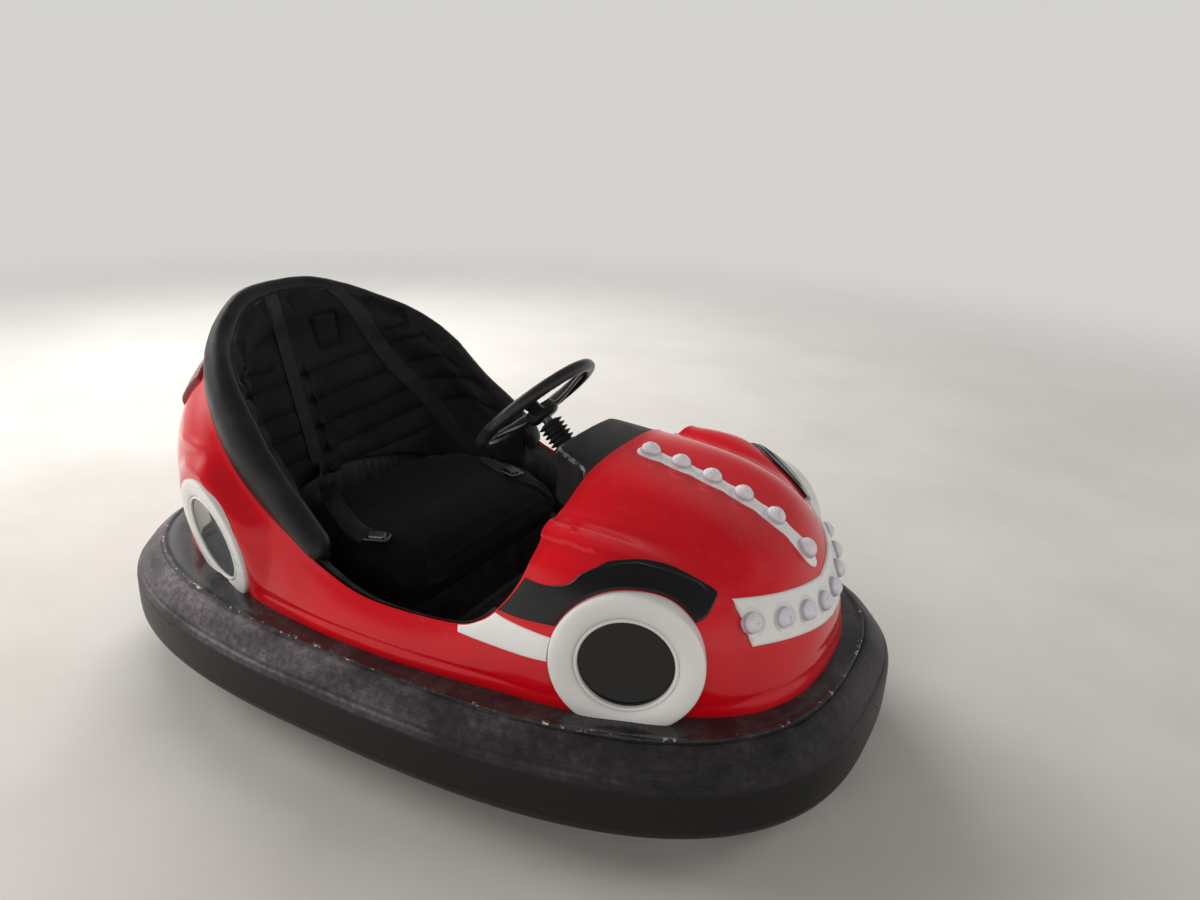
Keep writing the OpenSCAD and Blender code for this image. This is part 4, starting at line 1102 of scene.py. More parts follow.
def nose_band():
    """White band round the nose with an oval pocket for each lamp."""
    y = np.linspace(-LAMP_BAND_HALF, LAMP_BAND_HALF, 230)
    t = nose_angle(y)
    low_u, high_u = shares_between(t, band_edges(y))
    lamp_y = NOSE_PITCH * (np.arange(NOSE_COUNT) - (NOSE_COUNT - 1) / 2)
    lamp_t = nose_angle(lamp_y)
    lamp_u = share_at(lamp_t, 2, FOOT + sum(band_edges(lamp_y)) / 2, SHELL_TOP)
    spots = skin(lamp_t, lamp_u)

    def pockets(base):
        d = np.linalg.norm(base[..., None, :] - spots[None, None], axis=-1).min(-1)
        hollow = -POCKET_DEPTH * (1 - smooth_step((d - 0.0245) / 0.006))
        return hollow + 0.0012 * bell(d - 0.031, 0.0030)

    rings = skin_pad(t, low_u, high_u, BAND_RISE, 0.007, across=44, sunk=0.004, extra=pockets)
    band = loft("nose_moulding", rings, WHITE, "white_gelcoat")
    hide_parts("nose_band")
    normals = skin_normal(lamp_t, lamp_u)
    places = [frame_on(p + n * (BAND_RISE - POCKET_DEPTH), n, (0, 0, 1)) for p, n in zip(spots, normals)]
    make_lamps("nose_caps", places, "nose_lamps", DOME_R)


def tail_lamps():
    t = -np.linspace(*TAIL_T, 60)
    low_u, high_u = (np.full(t.shape, share) for share in TAIL_U)
    rings = skin_pad(t, low_u, high_u, 0.0115, 0.014, across=30, sunk=0.002)
    lamps = lofts("tail_lenses", [rings, mirrored(rings)], TAIL, "tail_plastic")
    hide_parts("tail_lamps")


# Bumper ring and flange, as sections of inset and height that follow the outline
RING_STATIONS = 560


def plan_rings(section, stations=RING_STATIONS):
    section = np.asarray(section, float)
    t = even_angles(stations)
    xy = plan(t[:, None], section[None, :, 0])
    z = np.broadcast_to(section[None, :, 1], xy.shape[:2])
    return np.concatenate([xy, z[..., None]], -1)


def tube_section():
    """Inflated rubber section: upright side, rolled shoulder with two lines, sloping top."""
    low_z, top = TUBE_LOW, TUBE_HIGH
    outline = [
        (TUBE_T, low_z + 0.010), (TUBE_T, top - 0.010), (TUBE_T - 0.008, top - 0.001),
        (TUBE_T - 0.020, top - 0.004), (TUBE_T - 0.038, top - 0.020), (0.013, top - 0.044),
        (0.004, top - 0.058), (0.0, top - 0.075), (0.0, low_z + 0.046), (0.004, low_z + 0.022),
        (0.016, low_z + 0.005), (0.034, low_z), (TUBE_T - 0.012, low_z + 0.001),
    ]
    lines = [
        ((0.031, top - 0.026), 0.0022, 0.0026), ((0.040, top - 0.018), 0.0018, 0.0022),
        ((0.010, top - 0.047), 0.0020, 0.0030), ((0.001, top - 0.085), 0.0014, 0.0022),
        ((0.001, low_z + 0.040), 0.0016, 0.0026),
    ]
    curve = spline(outline, 9, closed=True)
    for at, depth, spread in lines:
        d = np.linalg.norm(curve - at, axis=1)
        inward = unit(np.array([[TUBE_T / 2, (low_z + top) / 2]]) - curve)
        curve = curve + inward * (depth * bell(d, spread))[:, None]
    return curve


def make_bumper():
    section = tube_section()
    rings = plan_rings(section)
    t = even_angles(RING_STATIONS)
    wave = 0.0016 * np.sin(np.radians(t) * 9 + 1.0) + 0.0012 * np.sin(np.radians(t) * 23)
    inset_share = np.clip((rings[..., 2] - TUBE_LOW) / (TUBE_HIGH - TUBE_LOW), 0, 1)
    rings[..., 2] -= np.abs(wave)[:, None] * inset_share
    girth = run_along(section)
    bumper = loft("bumper_ring", rings, RUBBER, "bumper_rubber", closed=True, sharp=60,
                  values={"girth": np.tile(girth, len(rings))})
    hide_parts("bumper_tube")
    make_nibs()


def make_nibs():
    """Moulding nibs that stand up along the shoulder, and vent hairs on the side."""
    rng = np.random.default_rng(7)
    rings = []
    for i, t in enumerate(even_angles(74, inset=0.02)):
        t = t + rng.uniform(-0.6, 0.6)
        out = unit(np.array([math.cos(math.radians(t)) / LENGTH, math.sin(math.radians(t)) / WIDTH, 0.0]))
        upper = i % 2 == 0
        inset, z = (0.016, TUBE_HIGH - 0.0475) if upper else (0.0015, TUBE_HIGH - 0.075)
        base = np.array([*plan(t, inset), z])
        lean = out * rng.uniform(0.3, 1.0) + np.array([0, 0, rng.uniform(0.2, 0.9)])
        size = rng.uniform(0.003, 0.008)
        points = [base - unit(lean) * 0.004 + unit(lean) * (size + 0.004) * f for f in np.linspace(0, 1, 4)]
        radii = 0.0012 * np.array([1.3, 1.0, 0.75, 0.3])
        a = circle(6)
        m = np.array(frame_on((0, 0, 0), lean))[:3, :2]
        rings.append([[p + r * (m[:, 0] * math.cos(v) + m[:, 1] * math.sin(v)) for v in a]
                      for p, r in zip(points, radii)])
    lofts("bumper_nibs", rings, RUBBER, "bumper_rubber")


def make_flange():
    """Steel hoop and flange, with a scuffed outer edge."""
    outer = TUBE_T - 0.008
    inner = outer + FLANGE_W
    hoop = TUBE_T + GAP
    t = 0.004
    low_z = TUBE_LOW + 0.012
    fillet = [(outer + 0.0005 + 0.002 * (1 - math.cos(a)), FLANGE - 0.002 + 0.002 * math.sin(a))
              for a in np.radians(np.linspace(0, 90, 5))]
    groove = ((0.010, 0.0), (0.014, 0.0012), (0.018, 0.0), (0.040, 0.0), (0.060, 0.0))
    top = [(outer + w, FLANGE - d) for w, d in groove]
    section = ([(hoop, low_z), (hoop, FLANGE - t), (outer + 0.0005, FLANGE - t)] + fillet + top
               + [(inner, FLANGE), (inner, FLANGE - t), (hoop + t, FLANGE - t), (hoop + t, low_z)])
    rings = plan_rings(section)
    inset = np.array(section)[:, 0]
    scuff = bell(inset - outer, 0.006) * (np.array(section)[:, 1] > FLANGE - 0.0035)
    flange = loft("rim_flange", rings, RIM, "rim_enamel", closed=True,
                  values={"scuff": np.tile(scuff, len(rings))})
    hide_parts("rim_band")


# Padding
def inward(p):
    """Horizontal direction from the opening's edge towards the cockpit's middle."""
    middle = (COWL_X - BACK_X) / 2 + 0.050
    q = np.stack([middle - p[..., 0], -p[..., 1], np.zeros(p.shape[:-1])], -1)
    return unit(q)


def from_edge(t, inside, over):
    e = edge(t)
    out = e + inward(e) * np.asarray(inside)[..., None]
    out[..., 2] += over
    return out


ROLL_T = 99.0
ROLL_FOOT = LIP + LINER_T + 0.008


def roll_share(t):
    return 0.42 + 0.58 * np.clip((np.abs(fold_angle(t)) - ROLL_T) / 22, 0, 1)


def roll_high(t):
    return ROLL_H * roll_share(t)


def roll_wide(t):
    return ROLL_W * (0.6 + 0.4 * roll_share(t))


def rear_angles(n, start, inset=0.2):
    """Even angles from the left side round the back to the right side."""
    return even_angles(n, start, 360 - start, inset)


def roll_rings(n=250):
    t = rear_angles(n, ROLL_T)
    h, w = roll_high(t), roll_wide(t)
    section = [(-0.005, 0.003), (-0.009, h * 0.35), (-0.004, h * 0.68), (w * 0.16, h * 0.92),
               (w * 0.46, h), (w * 0.74, h * 0.94), (w * 0.94, h * 0.78), (w * 1.02, h * 0.50),
               (ROLL_FOOT, -0.010), (LIP + LINER_T + 0.002, -0.015), (SHELL_T + 0.003, 0.0032)]
    corners = np.stack([from_edge(t, d, over) for d, over in section], axis=1)
    rings = np.stack([spline(ring, 6, closed=True) for ring in corners])
    centre = rings.mean(axis=1, keepdims=True)
    run = run_along(centre[:, 0])
    end = np.maximum(rounded(np.minimum(run, run[-1] - run), 0.026), 0.22)[:, None, None]
    shrunk = centre + (rings - centre) * end
    return t, shrunk


def make_roll():
    """Padded roll round the opening's rear edge, faintly crumpled."""
    t, rings = roll_rings()
    crumple = (0.0005 * np.sin(np.radians(t)[:, None] * 17 + np.linspace(0, 4, rings.shape[1])[None])
               + 0.0002 * np.sin(np.radians(t)[:, None] * 59 + np.linspace(0, 9, rings.shape[1])[None]))
    out = unit(rings - rings.mean(axis=1, keepdims=True))
    roll = loft("roll_pad", rings + out * crumple[..., None], VINYL, "roll_vinyl")
    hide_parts("padded_roll")
    return roll


FOOT_HALF = OPEN_HALF - 0.105
FOOT_BACK = BACK_X - 0.270


def held(v, limit):
    return np.where(v < limit, v, limit + (v - limit) * 0.1)


def liner_foot(t):
    e = edge(t)
    x = -held(-e[..., 0] * 0.98, FOOT_BACK)
    y = side_of(t) * held(np.abs(e[..., 1]) - LIP, FOOT_HALF)
    return np.stack([x, y, np.full(x.shape, FLOOR_Z + GAP)], -1)


def liner_side(t, v, d):
    top = from_edge(t, np.full(np.shape(t), LIP) + d, -LIP / 2)
    foot = liner_foot(t) + inward(edge(t)) * np.asarray(d)[..., None]
    return top + (foot - top) * np.asarray(v)[..., None]


BACK_T = 101.0
BACK_CLEAR = 0.0025
BACK_LOW = 0.64


def back_sections(t, front):
    """Points of the backrest's front or rear from its foot to its top, at angles t."""
    t = np.asarray(t, float)
    thick = 0.012 + (BACK_PAD_T - 0.018) * smooth_step((np.abs(fold_angle(t)) - BACK_T) / 16)
    d = LINER_T + BACK_CLEAR + (thick if front else 0)
    points = [liner_side(t, np.full(t.shape, v), d) for v in (BACK_LOW, 0.5, 0.36, 0.22, 0.10, 0.01)]
    h, w = roll_high(t), roll_wide(t)
    if front:
        rows = ((w + thick * 0.65, h * 0.26), (w + thick * 0.36, h * 0.56), (w * 1.03, h * 0.78))
    else:
        rows = ((ROLL_FOOT + BACK_CLEAR, -0.012), (w * 1.035, h * 0.48), (w * 0.965, h * 0.76))
    points += [from_edge(t, inside, over) for inside, over in rows]
    points.append(from_edge(t, w * 0.885, h * 0.875))
    return np.stack(points, axis=1)


def back_rings(n=230, rows=6):
    """Sections of the backrest's pad, and how many points of each are on its front."""
    t = rear_angles(n, BACK_T + 0.6)
    front = np.stack([spline(s, rows) for s in back_sections(t, True)])
    rear = np.stack([spline(s, 2) for s in back_sections(t, False)])[:, -2::-1]
    return np.concatenate([front, rear], axis=1), front.shape[1]


def simulate(piece, share, cap, pressure=4.0):
    """Fills a pad with cloth pressure. Each vertex moves by its share and no further than cap."""
    start = vertices(piece)
    cloth = piece.modifiers.new("fill", "CLOTH")
    cloth.settings.use_pressure = True
    cloth.settings.uniform_pressure_force = pressure
    cloth.settings.effector_weights.gravity = 0
    cloth.settings.quality = 5
    cloth.settings.tension_stiffness = 20
    cloth.settings.bending_stiffness = 0.6
    scene = bpy.context.scene
    for step in range(1, 21):
        scene.frame_set(step)
    moved = vertices(piece, True)
    piece.modifiers.clear()
    scene.frame_set(1)
    shift = moved - start
    far = np.linalg.norm(shift, axis=1, keepdims=True)
    shift *= np.minimum(1, cap / np.maximum(far, 1e-9)) * np.asarray(share)[:, None]
    set_vertices(piece, start + shift)


def vertices(piece, evaluated=False):
    source = piece.evaluated_get(bpy.context.evaluated_depsgraph_get()).data if evaluated else piece.data
    co = np.zeros(len(source.vertices) * 3, np.float32)
    source.vertices.foreach_get("co", co)
    return co.reshape(-1, 3).astype(float)


def set_vertices(piece, co):
    piece.data.vertices.foreach_set("co", np.asarray(co, np.float32).ravel())
    piece.data.update()


def subdivide(piece):
    piece.modifiers.new("smooth", "SUBSURF").levels = 1
    apply_modifiers(piece)
    shade(piece, 70)


def vertex_normals(piece):
    n = np.zeros(len(piece.data.vertices) * 3, np.float32)
    piece.data.vertex_normals.foreach_get("vector", n)
    return n.reshape(-1, 3).astype(float)


# Seams of the backrest in the photograph's pixels, as lines of points
QUILT = [
    [(243, 378), (276, 369)],
    [(244, 398), (277, 387), (299, 376), (374, 348), (392, 345), (425, 332), (439, 348)],
    [(253, 427), (288, 413), (307, 403), (395, 367), (405, 362), (446, 355), (471, 374)],
    [(267, 450), (298, 435), (314, 429), (411, 387), (423, 379), (475, 376), (513, 409)],
    [(284, 468), (308, 457), (321, 452), (425, 404), (466, 396), (513, 416)],
    [(326, 472), (438, 424)],
    [(384, 332), (409, 320)],
    [(241, 392), (244, 374), (255, 353), (276, 331)],
    [(361, 299), (390, 301), (409, 318)],
    [(310, 318), (336, 311), (342, 341), (322, 347), (310, 318)],
]


def photo_ray(px):
    """Direction from the camera through a pixel of the photograph."""
    local = Vector(((px[0] - PHOTO_W / 2) / FOCAL, -(px[1] - PHOTO_H / 2) / FOCAL, -1))
    return (camera.matrix_world.to_3x3() @ local).normalized()


def straight(pixels, steps=10):
    """Points along the straight runs between pixels."""
    runs = [np.linspace(a, b, steps, endpoint=False) for a, b in zip(pixels, pixels[1:])]
    return np.vstack(runs + [[pixels[-1]]])


def cast_line(tree, pixels):
    """The line of pixels laid on a surface, as points."""
    found = []
    for px in pixels:
        hit = tree.ray_cast(CAMERA_AT, photo_ray(px))[0]
        if hit:
            found.append(np.array(hit))
    return found


def surface_tree(*pieces):
    verts, faces = [], []
    for piece in pieces:
        start = len(verts)
        verts += [v.co.copy() for v in piece.data.vertices]
        faces += [[start + i for i in p.vertices] for p in piece.data.polygons]
    return BVHTree.FromPolygons(verts, faces)


def quilt(piece, lines, straps, depth=0.0085, spread=0.0060):
    """Draws the padding in along its seams and marks them for their painted shade, but not where a strap
    presses on it.
    """
    tree = surface_tree(piece)
    co, normal = vertices(piece), vertex_normals(piece)
    drop, seam = np.zeros(len(co)), np.zeros(len(co))
    for pixels in lines:
        line = cast_line(tree, straight(pixels))
        if len(line) > 1:
            d, along = line_distance(co, line)
            ends = ends_fade(along, 0.05, 0.05)
            valley = depth * bell(d, spread, 1.4) + 0.004 * bell(d, 0.020)
            drop = np.maximum(drop, valley * ends)
            seam = np.maximum(seam, bell(d, 0.0035) * ends)
    for path in straps:
        free = 1 - 0.85 * bell(line_distance(co, path)[0], 0.7 * STRAP_W, 4)
        drop, seam = drop * free, seam * free
    set_vertices(piece, co - normal * drop[:, None])
    # The seam attribute carries the seams' painted shade
    set_attribute(piece.data, "seam", seam)


def make_backrest():
    rings, front_rows = back_rings()
    n, m = rings.shape[:2]
    pad = loft("back_pad", rings, LIT_BACK_CLOTH, "seat_fabric")
    row = np.tile(np.arange(m), n)
    share = np.where(row < front_rows, 1.0, 0.0)
    simulate(pad, share, 0.011)
    subdivide(pad)
    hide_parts("backrest")
    return pad


CUSHION_LOW, CUSHION_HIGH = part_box("seat_cushion")


def cushion_rings(rows=26, around=132):
    """Sections of the cushion from its underside up, each one the same rounded outline."""
    lo, hi = CUSHION_LOW, CUSHION_HIGH
    centre = (lo + hi) / 2
    half_x, half_y = (hi.x - lo.x) / 2 - 0.008, (hi.y - lo.y) / 2 - 0.008
    a = circle(around)
    power = np.where(np.cos(a) < 0, 2 / 3.4, 2 / 9.0)
    x = signed_power(np.cos(a), power) * half_x
    y = signed_power(np.sin(a), power) * half_y
    rings = []
    for f in np.linspace(0, 1, rows):
        z = lo.z + 0.004 + (hi.z - lo.z - 0.014) * f
        inset = 0.018 * (2 * abs(f - 0.45)) ** 4
        rings.append(np.stack([centre.x + x * (1 - inset / half_x), centre.y + y * (1 - inset / half_y),
                               np.full(around, z)], -1))
    return np.array(rings)


def cap_rings(rings, steps=12):
    """Adds inner rings at both ends, so that the caps are grids down to a small middle face."""
    first, last = rings[0], rings[-1]
    shares = np.linspace(1, 0.04, steps)[1:]
    under = [first.mean(axis=0) + (first - first.mean(axis=0)) * s for s in shares[::-1]]
    over = [last.mean(axis=0) + (last - last.mean(axis=0)) * s for s in shares]
    return np.concatenate([under, rings, over])


def make_cushion():
    rings = cap_rings(cushion_rings())
    pad = loft("seat_pad", rings, SHADED_SEAT_CLOTH, "seat_fabric")
    co = vertices(pad)
    share = smooth_step((co[:, 2] - CUSHION_LOW.z - 0.01) / 0.06)
    centre = (CUSHION_LOW + CUSHION_HIGH) / 2
    simulate(pad, share, 0.010)
    subdivide(pad)
    co, normal = vertices(pad), vertex_normals(pad)
    reach = np.maximum(np.abs(co[:, 0] - centre.x) / (CUSHION_HIGH.x - CUSHION_LOW.x),
                       np.abs(co[:, 1] - centre.y) / (CUSHION_HIGH.y - CUSHION_LOW.y)) * 2
    crown = 0.006 * (1 - np.clip(reach, 0, 1) ** 2) * (normal[:, 2] > 0.5)
    seam_z = CUSHION_HIGH.z - 0.020
    piping = 0.0035 * bell(co[:, 2] - seam_z, 0.004) * (np.abs(normal[:, 2]) < 0.75)
    front = smooth_step((co[:, 0] - (CUSHION_HIGH.x - 0.19)) / 0.19)
    above = smooth_step((co[:, 2] - CUSHION_LOW.z - 0.01) / 0.11)
    droop = 0.052 * front ** 2 * above
    set_vertices(pad, co + normal * piping[:, None] + np.array([0, 0, 1]) * (crown - droop)[:, None])
    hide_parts("seat_cushion")
    return pad


# Harness straps over the roll and down the backrest
STRAP_W = 0.046
STRAP_LIFT = 0.0030
STRAP_T = 0.0016
STRAP_COLUMNS = 9
# Each strap in the photograph's pixels, from the roll's top to its buckle
STRAPS = {
    "right": [(270, 293), (276, 317), (285, 350), (300, 403), (310, 436), (319, 469), (330, 495),
              (343, 515), (355, 529), (367, 536)],
    "left": [(328, 284), (354, 306), (372, 334), (391, 360), (415, 383), (436, 406), (459, 434),
             (477, 452), (499, 468), (508, 473)],
}


def strap_path(tree, pixels, n=110):
    """Centre line up behind the roll, over it, and then down the seat along the pixels."""
    seen = cast_line(tree, spline(pixels, 4))
    t = even_angles(400, 100, 260, 0.2)
    top = t[np.argmin(np.linalg.norm(edge(t)[:, :2] - seen[0][:2], axis=1))]
    h, w = roll_high(top), roll_wide(top)
    over = ((-0.014, 0.020), (-0.013, h * 0.6), (0.0, h * 0.86), (w * 0.2, h * 0.98))
    points = [from_edge(top, d, up) for d, up in over] + seen
    curve = spline(points, 6)
    run = run_along(curve)
    even = np.linspace(0, run[-1], n)
    return np.stack([np.interp(even, run, curve[:, k]) for k in range(3)], -1)


def ribbon(path, wide, tree, lift):
    """Strap laid on a surface along a path, as closed sections with its two coordinates."""
    forward = unit(np.gradient(path, axis=0))
    normals = np.array([tree.find_nearest(Vector(p))[1] for p in path])
    for _ in range(8):
        normals[1:-1] = (normals[:-2] + normals[1:-1] * 2 + normals[2:]) / 4
    normals = unit(normals)
    sideways = unit(np.cross(forward, normals))
    offsets = np.linspace(-wide / 2, wide / 2, STRAP_COLUMNS)
    top = path[:, None] + sideways[:, None] * offsets[None, :, None]
    for i in range(top.shape[0]):
        for j in range(top.shape[1]):
            p = Vector(top[i, j])
            hit, normal = tree.find_nearest(p)[:2]
            gap = (p - hit).dot(normal)
            if gap < lift + 0.010:
                top[i, j] = p + normal * (lift - gap)
    for _ in range(4):
        top[1:-1] = (top[:-2] + 2 * top[1:-1] + top[2:]) / 4
    under = top - normals[:, None] * STRAP_T
    rings = np.concatenate([top, under[:, ::-1]], axis=1)
    run = run_along(path)
    across = np.r_[np.linspace(-1, 1, STRAP_COLUMNS), np.linspace(1, -1, STRAP_COLUMNS)]
    return rings, {"across": np.tile(across, len(path)), "along": np.repeat(run, len(across))}


def make_harness(tree):
    """Both straps on a surface. Returns their centre lines."""
    paths = []
    for name, pixels in STRAPS.items():
        path = strap_path(tree, pixels)
        rings, values = ribbon(path, STRAP_W, tree, STRAP_LIFT)
        strap = loft(f"harness_strap_{name}", rings, WEBBING, "webbing", values=values)
        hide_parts(f"harness_{name}")
        paths.append(path[::3])
    return paths


def make_buckles():
    """Steel buckles: a rounded plate with a smaller raised block on it."""
    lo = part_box("harness_buckles")[0]
    spots = [(CUSHION_LOW.x + 0.290, -0.285, 25), (CUSHION_LOW.x + 0.325, 0.215, -20)]
    rings = []
    for x, y, swing in spots:
        m = Matrix.Translation((x, y, lo.z + 0.004)) @ turn(swing, "Z")
        for outline, z, t in (((0.062, 0.044), 0.0, 0.0022), ((0.040, 0.030), 0.0026, 0.006)):
            a = circle(40)
            sx = signed_power(np.cos(a), 0.3) * outline[0] / 2
            sy = signed_power(np.sin(a), 0.3) * outline[1] / 2
            rows = [(0.94, z), (1.0, z + t * 0.25), (1.0, z + t * 0.75), (0.94, z + t)]
            rings.append([put(np.stack([sx * s, sy * s, np.full(40, h)], -1), m) for s, h in rows])
    buckles = lofts("strap_buckles", rings, PLATED, "buckle_metal")
    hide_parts("harness_buckles")


# Steering
WHEEL_X = COWL_X - 0.233
WHEEL_Z = 0.698
WHEEL_R = 0.150
GRIP_R = 0.0145
SPOKE_IN = 0.026
SPOKE_ANGLES = (90, 210, 330)


def column_place(s):
    """Matrix with +Z up the column, a distance below the wheel's centre."""
    return Matrix.Translation((WHEEL_X, 0, WHEEL_Z)) @ turn(-45, "Y") @ Matrix.Translation((0, 0, -s))


def spoke(place):
    """Sections of one spoke, from the hub out to the rim."""
    f = np.linspace(0, 1, 14)
    length = SPOKE_IN + (WHEEL_R - SPOKE_IN) * f
    wide = 0.020 - 0.006 * np.sin(np.pi * f) + 0.004 * f
    rise = -0.022 + 0.022 * smooth_step((f - 0.1) / 0.9)
    c = circle(18)
    rings = [np.stack([np.full(18, x), w * signed_power(np.cos(c), 0.7), z + 0.0050 * np.sin(c)], -1)
             for x, w, z in zip(length, wide, rise)]
    return put(np.array(rings), place)


def make_steering_wheel():
    """Moulded rim with finger grips and a seam, its hub, and three spokes."""
    m = column_place(0)
    a, b = circle(150)[:, None], circle(28)[None]
    r = GRIP_R * (1 + 0.012 * np.cos(a * 24) * (np.cos(b) < 0))
    seam = 1 - 0.05 * bell(b - np.pi, 0.12)
    radius = WHEEL_R + r * seam * np.cos(b)
    height = np.broadcast_to(r * seam * np.sin(b), radius.shape)
    rim = np.stack([radius * np.cos(a), radius * np.sin(a), height], -1)
    hub = [[0.001, -0.040], [0.030, -0.040], [0.038, -0.034], [0.038, -0.014], [0.034, -0.008],
           [0.020, -0.006], [0.018, -0.0075], [0.001, -0.0075]]
    parts = [put(rim, m), turned(hub, 64, m)]
    wheel = lofts("steering_rim", parts, PLASTIC, "wheel_plastic", closed=True, body="steering")
    spokes = [spoke(m @ turn(angle + 90, "Z")) for angle in SPOKE_ANGLES]
    lofts("steering_spokes", spokes, PLASTIC, "wheel_plastic", body="steering")
    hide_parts("steering_wheel")


def make_boot():
    """Rubber bellows round the column."""
    folds, top, base, r = 6, 0.052, 0.120, 0.023
    length = base - top
    s = np.linspace(0, 1, folds * 14 + 1)
    radius = r + 0.003 + 0.0052 * np.cos(2 * np.pi * folds * s + np.pi)
    profile = [[0.013, 0.0]] + [[a, b * length] for a, b in zip(radius, s)] + [[0.013, length]]
    rings = turned(profile, 72, column_place(base - GAP))
    boot = loft("column_bellows", rings, BOOT, "boot_rubber", closed=True, sharp=70)
    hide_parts("column_boot")


# Dashboard pod behind the bonnet
COWL_T = 15.0
POD_HALF = 0.112
POD_LEN = 0.105
POD_RISE = 0.014
COWL_DROP = 0.120
COWL_WALL = 0.004
# Radius of the pod's rolled corner, and the depth of its lid at each end
POD_ROUND, POD_END = 0.012, 0.012


def make_pod():
    """Lid and rear face of the pod with a rolled corner between them, rubbed along it."""
    t = np.linspace(-COWL_T, COWL_T, 71)
    e = edge(t)
    share = np.clip((edge(COWL_T)[1] - np.abs(e[:, 1])) / (edge(COWL_T)[1] - POD_HALF), 0, 1)
    share = smooth_step(share)
    front = e[:, 0] - GAP - 0.14 * SHELL_T
    rear = front - POD_END - (POD_LEN - POD_END) * share
    lid = e[:, 2] + 0.001 + POD_RISE * share
    r = np.minimum(POD_ROUND, 0.4 * (front - rear))
    turns = np.radians(np.linspace(0, 90, 9))
    corner = [(rear + r * (1 - math.sin(a)), lid - r * (1 - math.cos(a))) for a in turns]
    foot = lid - COWL_DROP
    outline = ([(front, e[:, 2] + 0.001)] + corner + [(rear, lid - COWL_DROP * 0.5), (rear, foot)]
               + [(rear + COWL_WALL, foot), (rear + COWL_WALL, lid - COWL_WALL - 0.006),
                  (rear + COWL_WALL + 0.006, lid - COWL_WALL), (front, e[:, 2] + 0.001 - COWL_WALL)])
    rings = np.stack([np.stack([x, e[:, 1], z], -1) for x, z in outline], axis=1)
    worn = np.zeros(rings.shape[:2])
    worn[:, 3:8] = 1.0
    pod = loft("dash_pod", rings, DASH, "black_gelcoat", values={"worn": worn}, sharp=50)
    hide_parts("dash_cowl")


# CAD nodes that keep their shape, with their finish and the width of their rounded edges
KEPT = {
    "valve_stem": (PLATED, 0.0006), "floor_pan": (FRAME, 0.0008), "chassis_rails": (FRAME, 0.003),
    "cockpit_liner": (LINER, 0.0), "floor_mat": (MAT, 0.0012),
    "seat_base": (LINER, 0.003), "column_bracket": (FRAME, 0.0015), "steering_column": (BOOT, 0.001),
    "steering_shaft": (PLATED, 0.0006), "pedal": (FRAME, 0.0012), "drive_bridge": (FRAME, 0.0018),
    "drive_fork": (FRAME, 0.0015), "drive_hub": (PLATED, 0.001), "drive_tyre": (TYRE, 0.003),
    "rear_forks": (FRAME, 0.0015), "rear_axles": (PLATED, 0.0008), "rear_hub_left": (PLATED, 0.001),
    "rear_tyre_left": (TYRE, 0.003), "rear_hub_right": (PLATED, 0.001), "rear_tyre_right": (TYRE, 0.003),
    "battery_pack": (CASE, 0.004),
}


def dress_nodes():
    for name, (paint, bevel) in KEPT.items():
        node = nodes[name]
        node.data.materials.clear()
        node.data.materials.append(paint.mat)
        if bevel:
            modifier = node.modifiers.new("edges", "BEVEL")
            modifier.width = bevel
            modifier.segments = 2
            modifier.limit_method = "ANGLE"
            modifier.angle_limit = math.radians(40)


# Floor and light
BACKDROP = (0.66, 0.645, 0.62)
FLOOR_R = 60


def make_stage():
    mesh = bpy.data.meshes.new("floor")
    edge_points = [(FLOOR_R * math.cos(v), FLOOR_R * math.sin(v), 0) for v in circle(64)]
    mesh.from_pydata(edge_points, [], [list(range(64))])
    floor = add_object("floor", mesh)
    p = Paint("floor_finish", (0.60, 0.57, 0.53), 0.75)
    tone = p.range(p.noise(1.3, 6, 0.6), 0.3, 0.75)
    p.set("Base Color", p.mix(tone, (0.62, 0.59, 0.55), (0.55, 0.52, 0.48)))
    p.bump(p.noise(40, 5), 0.001, 0.3)
    # Past the car the floor turns into an even pale backdrop where the camera or a gloss sees it
    length = p.add("ShaderNodeVectorMath", {"Vector": p.place}, operation="LENGTH").outputs["Value"]
    far = p.times(p.range(length, 1.9, 6.5), p.seen_plainly())
    glow = p.add("ShaderNodeEmission", {"Color": BACKDROP}).outputs[0]
    mix = p.add("ShaderNodeMixShader", {0: far, 1: p.shader.outputs[0], 2: glow})
    p.feed(p.tree.nodes["Material Output"].inputs["Surface"], mix.outputs[0])
    mesh.materials.append(p.mat)


def area_light(name, at, towards, size, power, color=(1, 1, 1)):
    data = bpy.data.lights.new(name, "AREA")
    data.shape = "RECTANGLE"
    data.size, data.size_y = size
    data.energy = power
    data.color = color
    lamp = add_object(name, data)
    lamp.location = at
    lamp.rotation_euler = (Vector(towards) - Vector(at)).to_track_quat("-Z", "Y").to_euler()
    lamp.visible_glossy = False


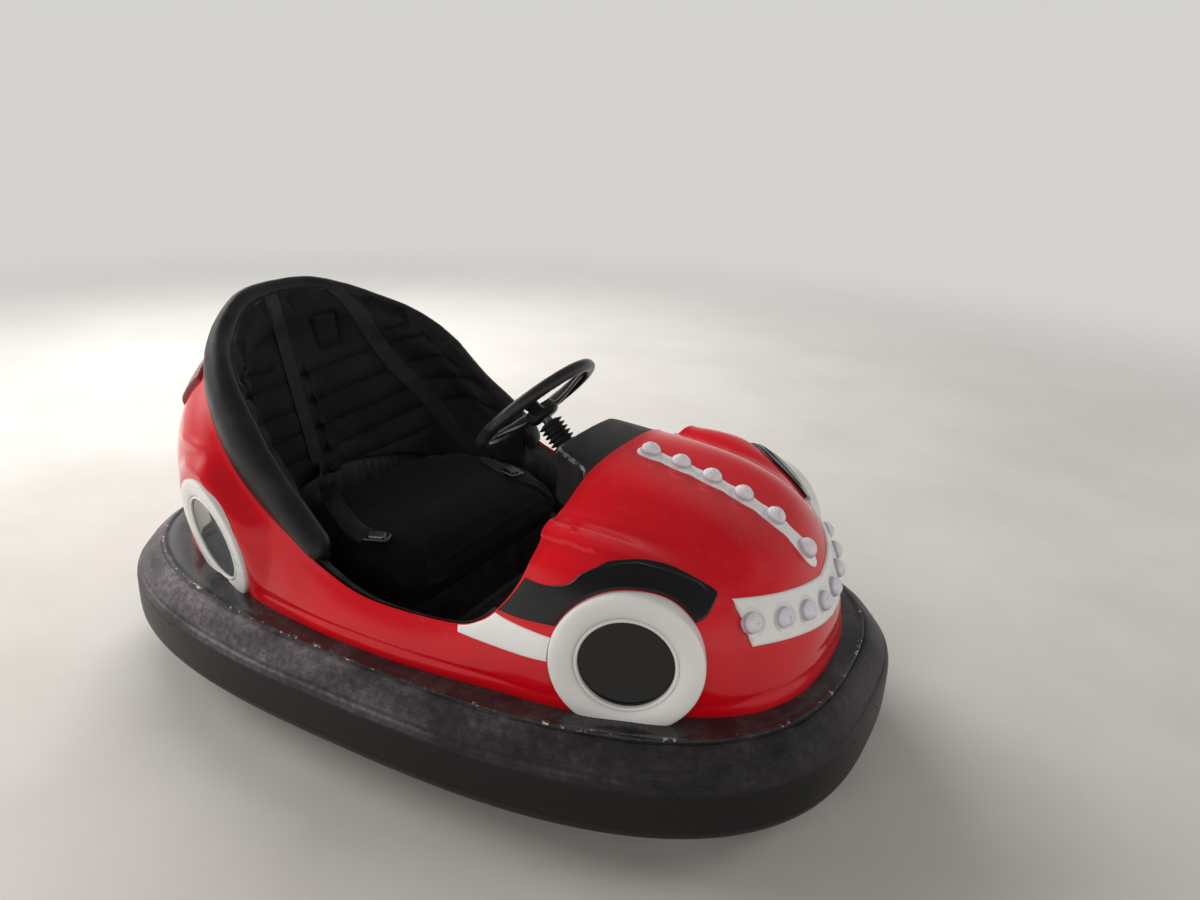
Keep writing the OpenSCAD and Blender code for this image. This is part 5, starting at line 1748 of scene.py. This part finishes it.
# Sky: its brightness low down and overhead, and the glow of its bright side behind the car
SKY_LOW, SKY_HIGH, SKY_GLOW = 0.34, 0.16, 1.5
BRIGHT_SIDE = Vector((-0.95, 0.10, 0.26)).normalized()


def make_light():
    """Even backdrop at the horizon, a bright side and a dim roof, with panels for soft light."""
    world = bpy.data.worlds.new("sky")
    bpy.context.scene.world = world
    world.use_nodes = True
    sky = Nodes(world.node_tree)
    way = sky.add("ShaderNodeTexCoord").outputs["Generated"]
    up = sky.add("ShaderNodeSeparateXYZ", {"Vector": way}).outputs["Z"]
    towards = sky.add("ShaderNodeVectorMath", {0: way, 1: BRIGHT_SIDE}, operation="DOT_PRODUCT")
    glow = sky.range(towards.outputs["Value"], 0.78, 0.98, 0.0, SKY_GLOW)
    level = sky.math("ADD", glow, sky.range(up, 0.0, 0.85, SKY_LOW, SKY_HIGH))
    shade = sky.add("ShaderNodeCombineColor", {"Red": level, "Green": level, "Blue": level}).outputs[0]
    whole = sky.mix(sky.range(up, 0.05, 0.45), BACKDROP, shade)
    sky.feed(world.node_tree.nodes["Background"].inputs["Color"], whole)
    area_light("left_panel", (-3.4, 2.6, 2.8), (0, 0, 0.4), (4.0, 1.6), 240, (0.98, 0.99, 1.0))
    area_light("rear_panel", (-4.2, -1.6, 2.4), (0, 0, 0.4), (2.4, 1.0), 110, (1.0, 0.99, 0.97))
    area_light("front_panel", (3.6, 1.6, 2.6), (0.2, 0, 0.4), (2.2, 0.8), 34, (1.0, 1.0, 1.0))
    area_light("near_panel", (1.0, -4.4, 2.6), (0.1, 0, 0.3), (4.0, 1.2), 62, (1.0, 0.99, 0.98))


make_stage()
make_light()
make_bumper()
make_flange()
shell = make_shell()
make_trims()
make_arch()
make_stripe()
lamp_strip(shell)
nose_band()
tail_lamps()
roll = make_roll()
backrest = make_backrest()
cushion = make_cushion()
straps = make_harness(surface_tree(roll, backrest, cushion))
quilt(backrest, QUILT, straps)
make_buckles()
make_pod()
make_steering_wheel()
make_boot()
dress_nodes()

bpy.context.scene.view_settings.view_transform = "Standard"
